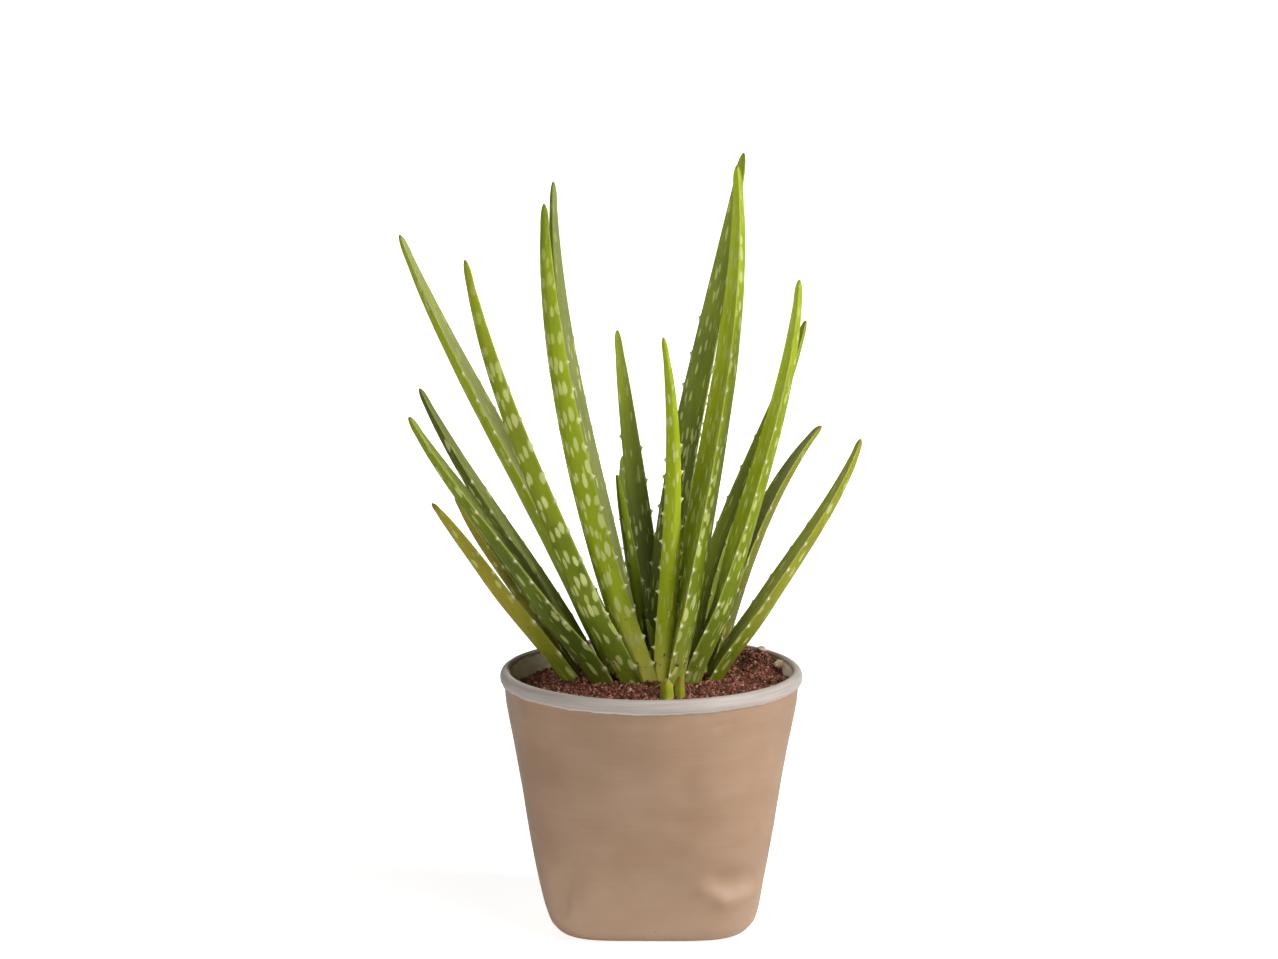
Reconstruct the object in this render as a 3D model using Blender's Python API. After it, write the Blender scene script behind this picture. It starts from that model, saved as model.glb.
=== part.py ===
"""Potted aloe vera: a softly square clay pot, the soil in it and a clump of toothed leaves.

The origin is the centre of the pot's flat underside, +Z is up and the front faces -Y.
"""
import math
import random

import bmesh
import bpy
from mathutils import Vector

MM = 0.001
SEAT_GAP = 0.3

# Pot, in millimetres
POT_HEIGHT = 119.0
RIM_RADIUS = 70.0
RIM_BAND_HEIGHT = 5.0
WALL = 4.5
FLOOR_THICKNESS = 7.0
FLOOR_HALF_WIDTH = 40.5
LIP_DEPTH = 2.5
INSIDE_LEVELS = (15.0, 26.0, 42.0, 61.0, 85.0, 103.0)
POT_SIDES = 48
ROUND_ABOVE = 102.0
ROUND_EXPONENT = 2.0
SQUARE_EXPONENT = 4.2

# Half the width of the pot's body at each height, from the foot to the band
BODY_TOP = 103.0
BODY_HALF_WIDTHS = (
    (0.0, 40.0),
    (1.0, 43.0),
    (4.0, 46.0),
    (8.5, 48.0),
    (15.0, 50.0),
    (26.0, 52.6),
    (42.0, 55.8),
    (61.0, 59.2),
    (85.0, 63.6),
    (BODY_TOP, 67.2),
)

# Soft dents and folds: compass angle, height, spread in degrees, spread in height, depth
DENTS = (
    (-52.0, 30.0, 9.0, 9.0, 2.6),
    (-58.0, 20.0, 12.0, 5.0, -1.4),
    (-133.0, 24.0, 8.0, 8.0, 1.9),
    (-120.0, 22.0, 9.0, 7.0, -1.2),
    (-64.0, 92.0, 12.0, 10.0, 0.8),
    (-78.0, 66.0, 22.0, 14.0, 1.4),
    (-105.0, 52.0, 18.0, 12.0, 1.0),
    (-14.0, 2.0, 34.0, 15.0, -2.8),
    (60.0, 45.0, 18.0, 16.0, 1.8),
    (128.0, 70.0, 20.0, 14.0, 1.5),
    (150.0, 28.0, 12.0, 9.0, 1.6),
)

# Soil
SOIL_LEVEL = 108.5
HEAP_HEIGHT = 9.0
HEAP_PLACE = (44.0, 34.0)
HEAP_SPREAD = 20.0
RIPPLE = 0.9
CROWN_PLACE = (-3.0, 14.0)
CROWN_REACH = (46.0, 38.0)
FLAT_SHARE = 0.9
FADE_SHARE = 0.4
TOP_RINGS = (1.0, 0.93, 0.84, 0.74, 0.62, 0.48, 0.32, 0.16)

# Leaves
HOLE_DEPTH = 8.0
HOLE_GAP = 0.35
FOOT_Z = SOIL_LEVEL + 1.0
FOOT_DEPTH = FOOT_Z - SOIL_LEVEL + HOLE_DEPTH - SEAT_GAP
FOOT_WIDTH = 0.62
FOOT_SPREADS = 0.2
CLUMP_CENTRE = (4.0, 10.0)
CLUMP_REACH = (12.0, 16.0)
FOOT_THICKNESS = 0.34
MARGIN_THICKNESS = 1.0
CHANNEL_AT_TIP = 0.10
CHANNEL_DEEPENS = 0.28
THICK_AT_FOOT = 0.66
THICK_GROWS = 0.14
FIRST_RING = 6.0
TOOTH_BASE = 3.0
TOOTH_HEIGHT = 2.4
TOOTH_RISE = 0.7
FIRST_TOOTH = 10.0
TOOTHED_SHARE = 0.7
TOOTH_SPACING = (12.0, 16.0)
TOOTH_SKEW = 3.3
SKEW_REACH = 30.0
PLAIN_SPACING = 18.0
TIP_STATIONS = (18.0, 8.0, 2.5)
TAPER = (1.7, 0.52)
NARROW_FOOT = 0.18
NARROW_REACH = 35.0
TURN_SHARE = 0.45
SEED = 7

# Places of the section's corners from margin to margin, as a share of half the width
OUTER_PLACES = (-1.0, -0.72, -0.28, 0.28, 0.72, 1.0)
INNER_PLACES = (1.0, 0.45, -0.45, -1.0)
FOOT_ANGLES = (170, 135, 105, 75, 45, 10, -10, -60, -120, -170)
SECTION_SIDES = len(FOOT_ANGLES)

# Name: foot on the soil, two points of the way up, tip, half width, facing of the back at the
# foot and higher up
LEAVES = {
    "leaf_left_lowest": ((-39, 3), (-67, 0, 150), (-86, -6, 178), (-100, -12, 198), 6.2, 205, 205),
    "leaf_left_lowest_back": ((-34, 15), (-60, 14, 149), (-77, 14, 173), (-91, 14, 197), 5.4, 180, 180),
    "leaf_left_low_front": ((-28, -5), (-51.5, -14, 155), (-81, -28, 198), (-108, -42, 242), 8.5, 205, 172),
    "leaf_left_low_back": ((-25, 14), (-53, 14, 156), (-82, 15, 201), (-107, 16, 247), 8.0, 175, 168),
    "leaf_left_tall_back": ((-16, 18), (-48.5, 23, 179), (-85.5, 31, 248), (-117, 38, 316), 8.9, 150, 161),
    "leaf_left_tall_front": ((-13, -7), (-41, -24, 180), (-66, -40, 248), (-82, -52, 313), 7.0, 225, 225),
    "leaf_front_left": ((-4, 1), (-28, -16, 189), (-43, -38, 267), (-47, -58, 338), 7.2, 235, 235),
    "leaf_front_left_inner": ((-6, 13), (-24, 20, 187), (-39.8, 24, 265), (-45, 22, 342), 7.4, 165, 154),
    "leaf_small_inner": ((-4, 31), (-7, 34, 144), (-12, 35, 177), (-16, 33, 204), 3.8, 250, 250),
    "leaf_back_low": ((-8, 44), (-6, 58, 145), (-11, 76, 174), (-13.5, 90, 204), 4.6, 90, 90),
    "leaf_back_centre": ((4, 38), (-2, 48, 161), (-9, 60, 214), (-16, 68, 268), 6.4, 80, 80),
    "leaf_spear": ((7, 13), (4, 13, 118), (1, 13, 128), (-2, 13, 139), 2.6, 90, 90),
    "leaf_back_right_tall": ((8, 24), (13, 37, 190), (28.5, 48, 271), (43.5, 54, 353), 8.4, 60, 60),
    "leaf_front_centre": ((6, 2), (9, -16, 169), (10, -38, 226), (5, -62, 280), 4.8, 285, 285),
    "leaf_front_right_tall": ((13.5, -9.5), (24, -16, 193), (36, -24, 274), (38, -30, 353), 9.8, 310, 385),
    "leaf_right_back": ((23, 14), (31, 16, 166), (52, 16, 222), (71, 12, 279), 7.0, 30, 30),
    "leaf_right_front": ((24.5, -2), (40, -16, 177), (57, -29, 242), (65.4, -40, 303), 8.1, 350, 380),
    "leaf_right_low_back": ((28, 27), (40, 32, 149), (57, 42, 189), (81, 54, 224), 8.0, 25, 25),
    "leaf_right_low_front": ((32, 3), (53, -4, 150), (78, -8, 190), (95.5, -8, 227), 7.4, 5, 15),
    "pup_leaf_left": ((7, -24.5), (7, -24.5, 112), (6.8, -24.7, 116), (6, -25, 118.5), 3.6, 262, 262),
    "pup_leaf_right": ((13, -22.4), (13, -22.4, 112), (13, -22.6, 116), (13.4, -23, 120), 3.4, 282, 282),
}

COLOURS = {
    "pot": ((0.37, 0.23, 0.15), 0.42),
    "soil": ((0.16, 0.09, 0.06), 0.95),
    "leaf": ((0.24, 0.33, 0.03), 0.5),
}


def smooth_step(value):
    """Return 0 below 0, 1 above 1 and a soft rise between."""
    value = min(max(value, 0.0), 1.0)
    return value * value * (3.0 - 2.0 * value)


def between(pairs, place):
    """Read a value from (place, value) pairs along straight lines."""
    if place <= pairs[0][0]:
        return pairs[0][1]
    for (low, low_value), (high, high_value) in zip(pairs, pairs[1:]):
        if place <= high:
            return low_value + (high_value - low_value) * (place - low) / (high - low)
    return pairs[-1][1]


def new_collection(name):
    """Add a collection to the scene."""
    collection = bpy.data.collections.new(name)
    bpy.context.scene.collection.children.link(collection)
    return collection


def new_material(name, kind):
    """Make a plain material in the colour of one kind of piece."""
    colour, roughness = COLOURS[kind]
    material = bpy.data.materials.new(name)
    material.use_nodes = True
    surface = material.node_tree.nodes["Principled BSDF"]
    surface.inputs["Base Color"].default_value = (*colour, 1.0)
    surface.inputs["Roughness"].default_value = roughness
    surface.inputs["Metallic"].default_value = 0.0
    return material


def finish_object(name, mesh_data, kind, collection):
    """Turn a bmesh in millimetres into a named object in metres."""
    bmesh.ops.triangulate(mesh_data, faces=mesh_data.faces, quad_method="SHORT_EDGE")
    bmesh.ops.recalc_face_normals(mesh_data, faces=mesh_data.faces)
    bmesh.ops.scale(mesh_data, vec=(MM, MM, MM), verts=mesh_data.verts)
    mesh = bpy.data.meshes.new(name)
    mesh_data.to_mesh(mesh)
    mesh_data.free()
    mesh.shade_smooth()
    mesh.set_sharp_from_angle(angle=math.radians(40.0))
    mesh.materials.append(new_material(name, kind))
    thing = bpy.data.objects.new(name, mesh)
    collection.objects.link(thing)
    return thing


def pot_half_width(height):
    """Return half the width of the pot's body at a height."""
    return between(BODY_HALF_WIDTHS, height)


def cavity_half_width(height):
    """Return half the width of the pot's inside at a height."""
    lip = POT_HEIGHT - LIP_DEPTH
    if height >= lip:
        return RIM_RADIUS - WALL
    at_band = pot_half_width(BODY_TOP) - WALL
    if height > BODY_TOP:
        return at_band + (RIM_RADIUS - WALL - at_band) * (height - BODY_TOP) / (lip - BODY_TOP)
    return pot_half_width(height) - WALL


def dent_depth(angle, height):
    """Return how far the clay is pressed in at a place on the wall."""
    depth = 0.0
    for middle, level, spread, tall, deep in DENTS:
        turn = (math.degrees(angle) - middle + 180.0) % 360.0 - 180.0
        depth += deep * math.exp(-(turn / spread) ** 2 - ((height - level) / tall) ** 2)
    return depth


def shape_pot_point(point):
    """Move a point of the turned pot onto the rounded square, dented form."""
    radius = math.hypot(point.x, point.y)
    if radius < 1e-6:
        return point
    angle = math.atan2(point.y, point.x)
    squareness = smooth_step((ROUND_ABOVE - point.z) / ROUND_ABOVE)
    exponent = ROUND_EXPONENT + (SQUARE_EXPONENT - ROUND_EXPONENT) * squareness
    across = abs(math.cos(angle)) ** exponent + abs(math.sin(angle)) ** exponent
    stretch = across ** (-1.0 / exponent)
    pressed = dent_depth(angle, point.z) * min(radius / RIM_RADIUS, 1.0)
    length = radius * stretch - pressed
    return Vector((length * math.cos(angle), length * math.sin(angle), point.z))


def turned_solid(profile):
    """Spin a closed profile of (radius, height) points round the Z axis."""
    turned = bmesh.new()
    corners = [turned.verts.new((radius, 0.0, height)) for radius, height in profile]
    edges = [turned.edges.new(pair) for pair in zip(corners, corners[1:])]
    bmesh.ops.spin(
        turned, geom=corners + edges, cent=(0, 0, 0), axis=(0, 0, 1),
        angle=2.0 * math.pi, steps=POT_SIDES, use_merge=True,
    )
    bmesh.ops.remove_doubles(turned, verts=turned.verts, dist=1e-4)
    return turned


def pot_profile():
    """List the pot's section: foot, body, overhanging band, lip, inside and floor."""
    band_foot = POT_HEIGHT - RIM_BAND_HEIGHT - 1.0
    outside = [(half_width, height) for height, half_width in BODY_HALF_WIDTHS]
    band = [
        (pot_half_width(BODY_TOP) + 1.2, band_foot - 0.6),
        (RIM_RADIUS - 0.6, band_foot),
        (RIM_RADIUS, POT_HEIGHT - 5.0),
        (RIM_RADIUS - 0.6, POT_HEIGHT - 2.0),
        (RIM_RADIUS - 2.2, POT_HEIGHT),
        (RIM_RADIUS - WALL + 1.2, POT_HEIGHT),
        (RIM_RADIUS - WALL, POT_HEIGHT - LIP_DEPTH),
    ]
    inside = [(cavity_half_width(level), level) for level in reversed(INSIDE_LEVELS)]
    floor = [(FLOOR_HALF_WIDTH, FLOOR_THICKNESS), (0.0, FLOOR_THICKNESS)]
    return [(0.0, 0.0)] + outside + band + inside + floor


def make_pot(collection):
    """Turn the pot and press it into its soft square shape."""
    pot = turned_solid(pot_profile())
    for corner in pot.verts:
        corner.co = shape_pot_point(corner.co)
    return finish_object("pot", pot, "pot", collection)


def soil_height(x, y):
    """Return the height of the soil's surface at a place."""
    heap = math.hypot(x - HEAP_PLACE[0], y - HEAP_PLACE[1]) / HEAP_SPREAD
    reach = math.hypot((x - CROWN_PLACE[0]) / CROWN_REACH[0], (y - CROWN_PLACE[1]) / CROWN_REACH[1])
    bare = smooth_step((reach - FLAT_SHARE) / FADE_SHARE)
    ripple = math.sin(0.23 * x + 0.6) * math.cos(0.19 * y) + 0.5 * math.sin(0.41 * y - 0.33 * x)
    return SOIL_LEVEL + bare * (HEAP_HEIGHT * math.exp(-heap * heap) + RIPPLE * ripple)


def soil_profile():
    """List the soil's section: underside, side and the rings of its top."""
    bottom = FLOOR_THICKNESS + SEAT_GAP
    side = [(cavity_half_width(level) - SEAT_GAP, level) for level in INSIDE_LEVELS]
    edge = cavity_half_width(SOIL_LEVEL) - SEAT_GAP
    top = [(edge * ring, SOIL_LEVEL) for ring in TOP_RINGS]
    foot = [(0.0, bottom), (FLOOR_HALF_WIDTH - SEAT_GAP, bottom)]
    return foot + side + top + [(0.0, SOIL_LEVEL)]


def make_soil(collection, cutters):
    """Fill the pot with soil, with an uneven top and a plain hole for each leaf's foot."""
    soil = turned_solid(soil_profile())
    edge = cavity_half_width(SOIL_LEVEL) - SEAT_GAP
    for corner in soil.verts:
        level = corner.co.z
        ring = math.hypot(corner.co.x, corner.co.y) / edge
        corner.co = shape_pot_point(corner.co)
        if level > SOIL_LEVEL - 1.0:
            corner.co.z = soil_height(corner.co.x, corner.co.y)
            if ring > 0.99:
                widen = cavity_half_width(corner.co.z) / cavity_half_width(SOIL_LEVEL)
                corner.co.x *= widen
                corner.co.y *= widen
    body = finish_object("soil", soil, "soil", collection)
    holes = body.modifiers.new("Leaf holes", "BOOLEAN")
    holes.operation = "DIFFERENCE"
    holes.solver = "EXACT"
    holes.operand_type = "COLLECTION"
    holes.collection = cutters
    return body


class Leaf:
    """One leaf's centre line, width and facing, in millimetres."""

    def __init__(self, foot, lower, upper, tip, half_width, facing_foot, facing_top):
        self.foot = Vector((*foot, FOOT_Z))
        self.tip = Vector(tip)
        lower = Vector(lower)
        upper = Vector(upper)
        self.first_pull = (18.0 * lower - 9.0 * upper - 5.0 * self.foot + 2.0 * self.tip) / 6.0
        self.last_pull = (18.0 * upper - 9.0 * lower - 5.0 * self.tip + 2.0 * self.foot) / 6.0
        self.length = (lower - self.foot).length + (upper - lower).length + (self.tip - upper).length
        self.half_width = half_width
        self.facing = (math.radians(facing_foot), math.radians(facing_top))
        outside = math.dist(foot, CLUMP_CENTRE) - CLUMP_REACH[0]
        self.foot_width = FOOT_WIDTH + FOOT_SPREADS * smooth_step(outside / CLUMP_REACH[1])

    def centre(self, share):
        """Return the point of the centre line at a share of its length."""
        rest = 1.0 - share
        from_foot = rest ** 3 * self.foot + 3.0 * rest * rest * share * self.first_pull
        return from_foot + 3.0 * rest * share * share * self.last_pull + share ** 3 * self.tip

    def along(self, share):
        """Return the direction of the centre line."""
        rest = 1.0 - share
        start = rest * rest * (self.first_pull - self.foot)
        end = share * share * (self.tip - self.last_pull)
        return (start + 2.0 * rest * share * (self.last_pull - self.first_pull) + end).normalized()

    def frame(self, share):
        """Return the directions across the leaf and out of its back."""
        along = self.along(share)
        turn = smooth_step(share / TURN_SHARE)
        facing = self.facing[0] + (self.facing[1] - self.facing[0]) * turn
        across = Vector((-math.sin(facing), math.cos(facing), 0.0))
        across = (across - across.dot(along) * along).normalized()
        return across, across.cross(along)

    def surface(self, distance, place, outer):
        """Return a point of the leaf's back or channel at a distance from the soil."""
        share = min(max(distance / self.length, 0.0), 1.0)
        half_width = self.half_width * (1.0 - share ** TAPER[0]) ** TAPER[1]
        half_width *= 1.0 - NARROW_FOOT * (1.0 - smooth_step(distance / NARROW_REACH))
        channel = half_width * (CHANNEL_AT_TIP + CHANNEL_DEEPENS * (1.0 - share))
        thickness = half_width * (THICK_AT_FOOT + THICK_GROWS * share)
        margin = min(MARGIN_THICKNESS, half_width * 0.4) / 2.0
        curve = 1.0 - place * place
        if outer:
            out = margin + (channel + thickness) * curve
        else:
            out = channel * curve - margin
        across, outward = self.frame(share)
        out -= (channel + thickness) / 2.0
        return self.centre(share) + across * (place * half_width) + outward * out

    def foot_ring(self, height, clearance):
        """Return the oval ring of the leaf's foot, or of its hole, at a height."""
        wide = self.half_width * self.foot_width + clearance
        thick = self.half_width * FOOT_THICKNESS + clearance
        across = Vector((-math.sin(self.facing[0]), math.cos(self.facing[0]), 0.0))
        outward = Vector((math.cos(self.facing[0]), math.sin(self.facing[0]), 0.0))
        middle = Vector((self.foot.x, self.foot.y, height))
        ring = []
        for angle in FOOT_ANGLES:
            sideways = across * (wide * math.cos(math.radians(angle)))
            ring.append(middle + sideways + outward * (thick * math.sin(math.radians(angle))))
        return ring

    def tooth_peak(self, distance, side, scale):
        """Return the point of a thorn on one margin."""
        place = distance + leaf_skew(self, distance) * side
        share = place / self.length
        across = self.frame(share)[0]
        edge = (self.surface(place, side, True) + self.surface(place, side, False)) / 2.0
        rise = self.along(share) * TOOTH_RISE
        height = TOOTH_HEIGHT * scale * (1.0 - 0.4 * share)
        return edge + across * (side * height) + rise


def tooth_places(leaf, draw):
    """List the distances of the teeth, closer near the foot and a little uneven."""
    places = []
    distance = FIRST_TOOTH
    last = leaf.length * TOOTHED_SHARE
    while distance < last:
        places.append(distance)
        near, far = TOOTH_SPACING
        distance += (near + (far - near) * distance / last) * draw.uniform(0.88, 1.12)
    return places


def ring_distances(leaf, teeth):
    """List the distances of the leaf's rings, and the rings that start a tooth."""
    half_base = TOOTH_BASE / 2.0
    distances = [FIRST_RING]
    starts = []
    for place in teeth:
        starts.append(len(distances))
        distances += [place - half_base, place + half_base]
    tips = [leaf.length - step for step in TIP_STATIONS if leaf.length - step > distances[-1] + 2.0]
    reach = (tips[0] if tips else leaf.length) - distances[-1]
    steps = max(int(reach / PLAIN_SPACING), 0)
    start = distances[-1]
    distances += [start + reach * step / (steps + 1) for step in range(1, steps + 1)]
    return distances + tips, starts


def leaf_skew(leaf, distance):
    """Return how far a ring's right margin is ahead, so that the teeth alternate."""
    from_tip = smooth_step((leaf.length - distance) / SKEW_REACH)
    return TOOTH_SKEW * smooth_step(distance / SKEW_REACH) * from_tip


def leaf_ring(leaf, distance):
    """Return the points round the leaf at one station."""
    skew = leaf_skew(leaf, distance)
    outer = [leaf.surface(distance + skew * place, place, True) for place in OUTER_PLACES]
    inner = [leaf.surface(distance + skew * place, place, False) for place in INNER_PLACES]
    return outer + inner


def wrap_rings(rings, tip=None):
    """Wrap a grid round the rings, and close it at the foot and at the tip."""
    sides = SECTION_SIDES
    rows = [list(ring) for ring in rings]
    if tip is not None:
        rows.append([tip] * sides)
    wrapped = bmesh.new()
    bmesh.ops.create_grid(wrapped, x_segments=sides, y_segments=len(rows) - 1, size=1.0)
    wrapped.verts.ensure_lookup_table()
    for number, corner in enumerate(wrapped.verts):
        row, column = divmod(number, sides + 1)
        corner.co = rows[row][column % sides]
    return wrapped


def weld_and_close(wrapped):
    """Weld the seam and the tip, and fill the open ends."""
    bmesh.ops.remove_doubles(wrapped, verts=wrapped.verts, dist=1e-4)
    rims = [edge for edge in wrapped.edges if edge.is_boundary]
    bmesh.ops.holes_fill(wrapped, edges=rims, sides=SECTION_SIDES)


def grow_teeth(leaf, wrapped, mark, teeth, draw):
    """Pull each marked cell of the margins out to a thorn."""
    for cell in [cell for cell in wrapped.faces if cell[mark]]:
        side = 1 if cell[mark] > 0 else -1
        distance = teeth[abs(cell[mark]) - 1]
        peak = bmesh.ops.poke(wrapped, faces=[cell])["verts"][0]
        peak.co = leaf.tooth_peak(distance, side, draw.uniform(0.85, 1.1))


def make_leaf(name, sizes, draw, collection):
    """Loft one channelled leaf from its foot to its tip, with thorns on both margins."""
    leaf = Leaf(*sizes)
    teeth = tooth_places(leaf, draw)
    distances, starts = ring_distances(leaf, teeth)
    foot = [leaf.foot_ring(height, 0.0) for height in (FOOT_Z - FOOT_DEPTH, FOOT_Z)]
    rings = foot + [leaf_ring(leaf, distance) for distance in distances]
    wrapped = wrap_rings(rings, leaf.tip)
    mark = wrapped.faces.layers.int.new("tooth")
    wrapped.faces.ensure_lookup_table()
    for number, start in enumerate(starts, start=1):
        row = (start + len(foot)) * SECTION_SIDES
        wrapped.faces[row + len(OUTER_PLACES) - 1][mark] = number
        wrapped.faces[row + SECTION_SIDES - 1][mark] = -number
    weld_and_close(wrapped)
    grow_teeth(leaf, wrapped, mark, teeth, draw)
    return finish_object(name, wrapped, "leaf", collection)


def make_hole_cutter(name, sizes, collection):
    """Make the plain oval hole that a leaf's foot stands in."""
    leaf = Leaf(*sizes)
    heights = (SOIL_LEVEL - HOLE_DEPTH, SOIL_LEVEL + HOLE_DEPTH)
    wrapped = wrap_rings([leaf.foot_ring(height, HOLE_GAP) for height in heights])
    weld_and_close(wrapped)
    cutter = finish_object(name + "_hole", wrapped, "soil", collection)
    cutter.hide_render = True
    cutter.display_type = "WIRE"


def main():
    """Build the pot, the soil and the leaves."""
    for thing in list(bpy.data.objects):
        bpy.data.objects.remove(thing)
    parts = new_collection("Potted aloe vera")
    cutters = new_collection("Leaf hole cutters")
    draw = random.Random(SEED)
    make_pot(parts)
    for name, sizes in LEAVES.items():
        make_leaf(name, sizes, draw, parts)
        make_hole_cutter(name, sizes, cutters)
    make_soil(parts, cutters)


main()
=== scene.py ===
"""Potted aloe vera: a fine clay pot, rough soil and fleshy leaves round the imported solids.

The tables give lengths in millimetres, and the finished pieces are in metres. The front faces -Y.
"""
import math
import random

import bpy
import numpy as np
from bpy.props import FloatProperty, FloatVectorProperty, IntProperty, PointerProperty
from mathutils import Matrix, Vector, noise


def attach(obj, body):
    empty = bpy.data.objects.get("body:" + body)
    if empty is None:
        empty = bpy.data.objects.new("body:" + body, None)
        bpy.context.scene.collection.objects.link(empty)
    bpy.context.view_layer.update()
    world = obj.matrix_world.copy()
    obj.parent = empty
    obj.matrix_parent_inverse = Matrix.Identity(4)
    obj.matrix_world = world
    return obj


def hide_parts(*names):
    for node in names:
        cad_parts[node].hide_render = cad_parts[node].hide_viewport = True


bl_info = {
    "name": "Potted Aloe Vera",
    "version": (1, 0, 0),
    "blender": (4, 5, 0),
    "location": "3D View > Sidebar > Aloe",
    "description": "Builds a potted aloe vera round its packed solids",
    "category": "Add Mesh",
}

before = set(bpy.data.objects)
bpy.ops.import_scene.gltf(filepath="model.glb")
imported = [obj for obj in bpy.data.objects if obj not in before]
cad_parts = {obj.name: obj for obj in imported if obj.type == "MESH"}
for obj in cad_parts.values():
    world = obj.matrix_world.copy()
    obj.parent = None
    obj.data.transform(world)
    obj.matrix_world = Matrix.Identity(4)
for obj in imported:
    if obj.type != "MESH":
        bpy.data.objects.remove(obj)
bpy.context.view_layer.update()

MM = 0.001
BODY = "root"

# Corners closer than this are welded, and faces that meet more flatly than these angles look smooth
WELD = 0.002
POT_SMOOTHING = math.radians(60.0)
SOIL_SMOOTHING = math.radians(50.0)

# Pot, with the same form as its solid
POT_HEIGHT = 119.0
RIM_RADIUS = 70.0
WALL = 4.5
FLOOR_THICKNESS = 7.0
FLOOR_HALF_WIDTH = 40.5
LIP_DEPTH = 2.5
BODY_TOP = 103.0
UPPER_INSIDE_LEVELS = (115.0, 113.0, 111.0, 109.0, 106.0)
INSIDE_LEVELS = (103.0, 85.0, 61.0, 42.0, 26.0, 15.0)
ROUND_ABOVE = 102.0
ROUND_EXPONENT = 2.0
SQUARE_EXPONENT = 4.2
BODY_STEP = 1.6
BODY_HALF_WIDTHS = (
    (0.0, 40.0),
    (1.0, 43.0),
    (4.0, 46.0),
    (8.5, 48.0),
    (15.0, 50.0),
    (26.0, 52.6),
    (42.0, 55.8),
    (61.0, 59.2),
    (85.0, 63.6),
    (BODY_TOP, 67.2),
)

# Rounded foot, then the painted band and the lip, as radius and height; the paint starts at one of
# the band's points
PAINT_POINT = 3
FOOT_PROFILE = ((38.0, 0.0), (40.0, 0.05), (41.7, 0.4), (43.0, 1.1), (44.3, 2.2), (45.6, 3.8))
BAND_PROFILE = (
    (68.0, 111.0),
    (68.1, 111.9),
    (68.4, 112.3),
    (68.9, 112.5),
    (69.35, 112.9),
    (69.65, 113.5),
    (69.85, 114.2),
    (69.95, 115.0),
    (69.9, 115.9),
    (69.7, 116.7),
    (69.3, 117.5),
    (68.7, 118.2),
    (68.0, 118.7),
    (67.2, 118.95),
    (66.5, 118.8),
    (65.95, 118.3),
    (65.6, 117.5),
    (65.5, 116.5),
)

# Soft dents and swellings: compass angle, height, spread in degrees, spread in height, depth
DENTS = (
    (-52.0, 30.0, 9.0, 9.0, 2.6),
    (-58.0, 20.0, 12.0, 5.0, -1.4),
    (-133.0, 24.0, 8.0, 8.0, 1.9),
    (-120.0, 22.0, 9.0, 7.0, -1.2),
    (-64.0, 92.0, 12.0, 10.0, 0.8),
    (-78.0, 66.0, 22.0, 14.0, 1.4),
    (-105.0, 52.0, 18.0, 12.0, 1.0),
    (-14.0, 2.0, 34.0, 15.0, -2.8),
    (60.0, 45.0, 18.0, 16.0, 1.8),
    (128.0, 70.0, 20.0, 14.0, 1.5),
    (150.0, 28.0, 12.0, 9.0, 1.6),
)

# Finer folds: angle and height of both ends, width, depth
FOLDS = (
    (-66.0, 27.5, -57.0, 21.5, 3.4, -1.3),
    (-57.0, 21.5, -38.0, 23.0, 3.4, -1.7),
    (-58.0, 31.5, -44.0, 31.0, 5.0, 2.3),
    (-63.0, 105.0, -57.0, 106.0, 2.4, 0.7),
    (-74.0, 92.0, -76.0, 73.0, 7.0, 0.8),
    (-76.0, 73.0, -104.0, 54.0, 8.0, 0.9),
    (-128.0, 34.0, -134.0, 16.0, 4.2, 2.0),
    (-119.0, 30.0, -124.0, 13.0, 6.0, -1.4),
    (-141.0, 72.0, -138.0, 52.0, 8.0, 0.4),
    (35.0, 96.0, 52.0, 88.0, 6.0, 0.5),
    (118.0, 30.0, 126.0, 24.0, 4.0, 0.6),
)

# Unevenness of the wall, and of the foot of the painted band: pitch and depth
WALL_UNEVENNESS = ((2.4, 0.35), (7.0, 0.12))
WALL_STRETCH = 60.0
BAND_UNEVENNESS = ((5.0, 0.6), (17.0, 0.4))
BAND_SWELL = (14.0, 0.005)
BAND_WAVER_REACH = 1.6
BAND_WAVER_END = 6.0

# Patterns of the clay: size in millimetres and contrast
CLAY_PATCHES = ((26.0, 26.0, 18.0), 0.22)
CLAY_STROKES = ((40.0, 40.0, 0.9), 0.3)
WIDE_STROKES = ((60.0, 60.0, 5.0), 0.25)
BAND_STROKES = ((22.0, 22.0, 0.8), 0.28)
BAND_WAVER = ((7.0, 7.0, 7.0), 0.3)
INSIDE_WASH = ((9.0, 9.0, 2.5), 0.3)

# Specks in the clay: pitch, half size and share
CLAY_SPECKS = ((9.0, 9.0, 9.0), (0.4, 0.4, 0.4), 0.4)

# Tints on the clay: screen colour and strength
STROKE_TINT = ((184, 153, 126), 0.22)
WIDE_STROKE_TINT = ((152, 121, 96), 0.18)
# Lighter clay towards the foot is painted light from the pale floor below
FOOT_BOUNCE_LIGHT_TINT = ((196, 166, 140), 0.4)
SPECK_TINT = ((96, 66, 48), 0.6)
# Whiter, thicker paint at the foot of the band, which is also a painted highlight along its ledge
THICK_PAINT_AND_HIGHLIGHT_TINT = ((214, 210, 208), 0.7)
INSIDE_SHADE = (205, 194, 178)
FOOT_BOUNCE_LIGHT_HEIGHTS = (4.0, 48.0)

# Where the finishes of the clay start and end, in millimetres past the foot of the band
PAINT_START = (-0.75, -0.35)
THICK_PAINT_AND_HIGHLIGHT = ((-0.9, -0.3), (0.3, 1.3))
BARE_LINE = ((9.6, 10.0), (10.6, 11.2))
INSIDE_START = (9.9, 10.8)

# Soil, with the same form as its solid
SEAT_GAP = 0.3
SOIL_LEVEL = 108.5
HEAP_HEIGHT = 9.0
HEAP_PLACE = (44.0, 34.0)
HEAP_SPREAD = 20.0
RIPPLE = 0.9
CROWN_PLACE = (-3.0, 14.0)
CROWN_REACH = (46.0, 38.0)
FLAT_SHARE = 0.9
FADE_SHARE = 0.4

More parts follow.
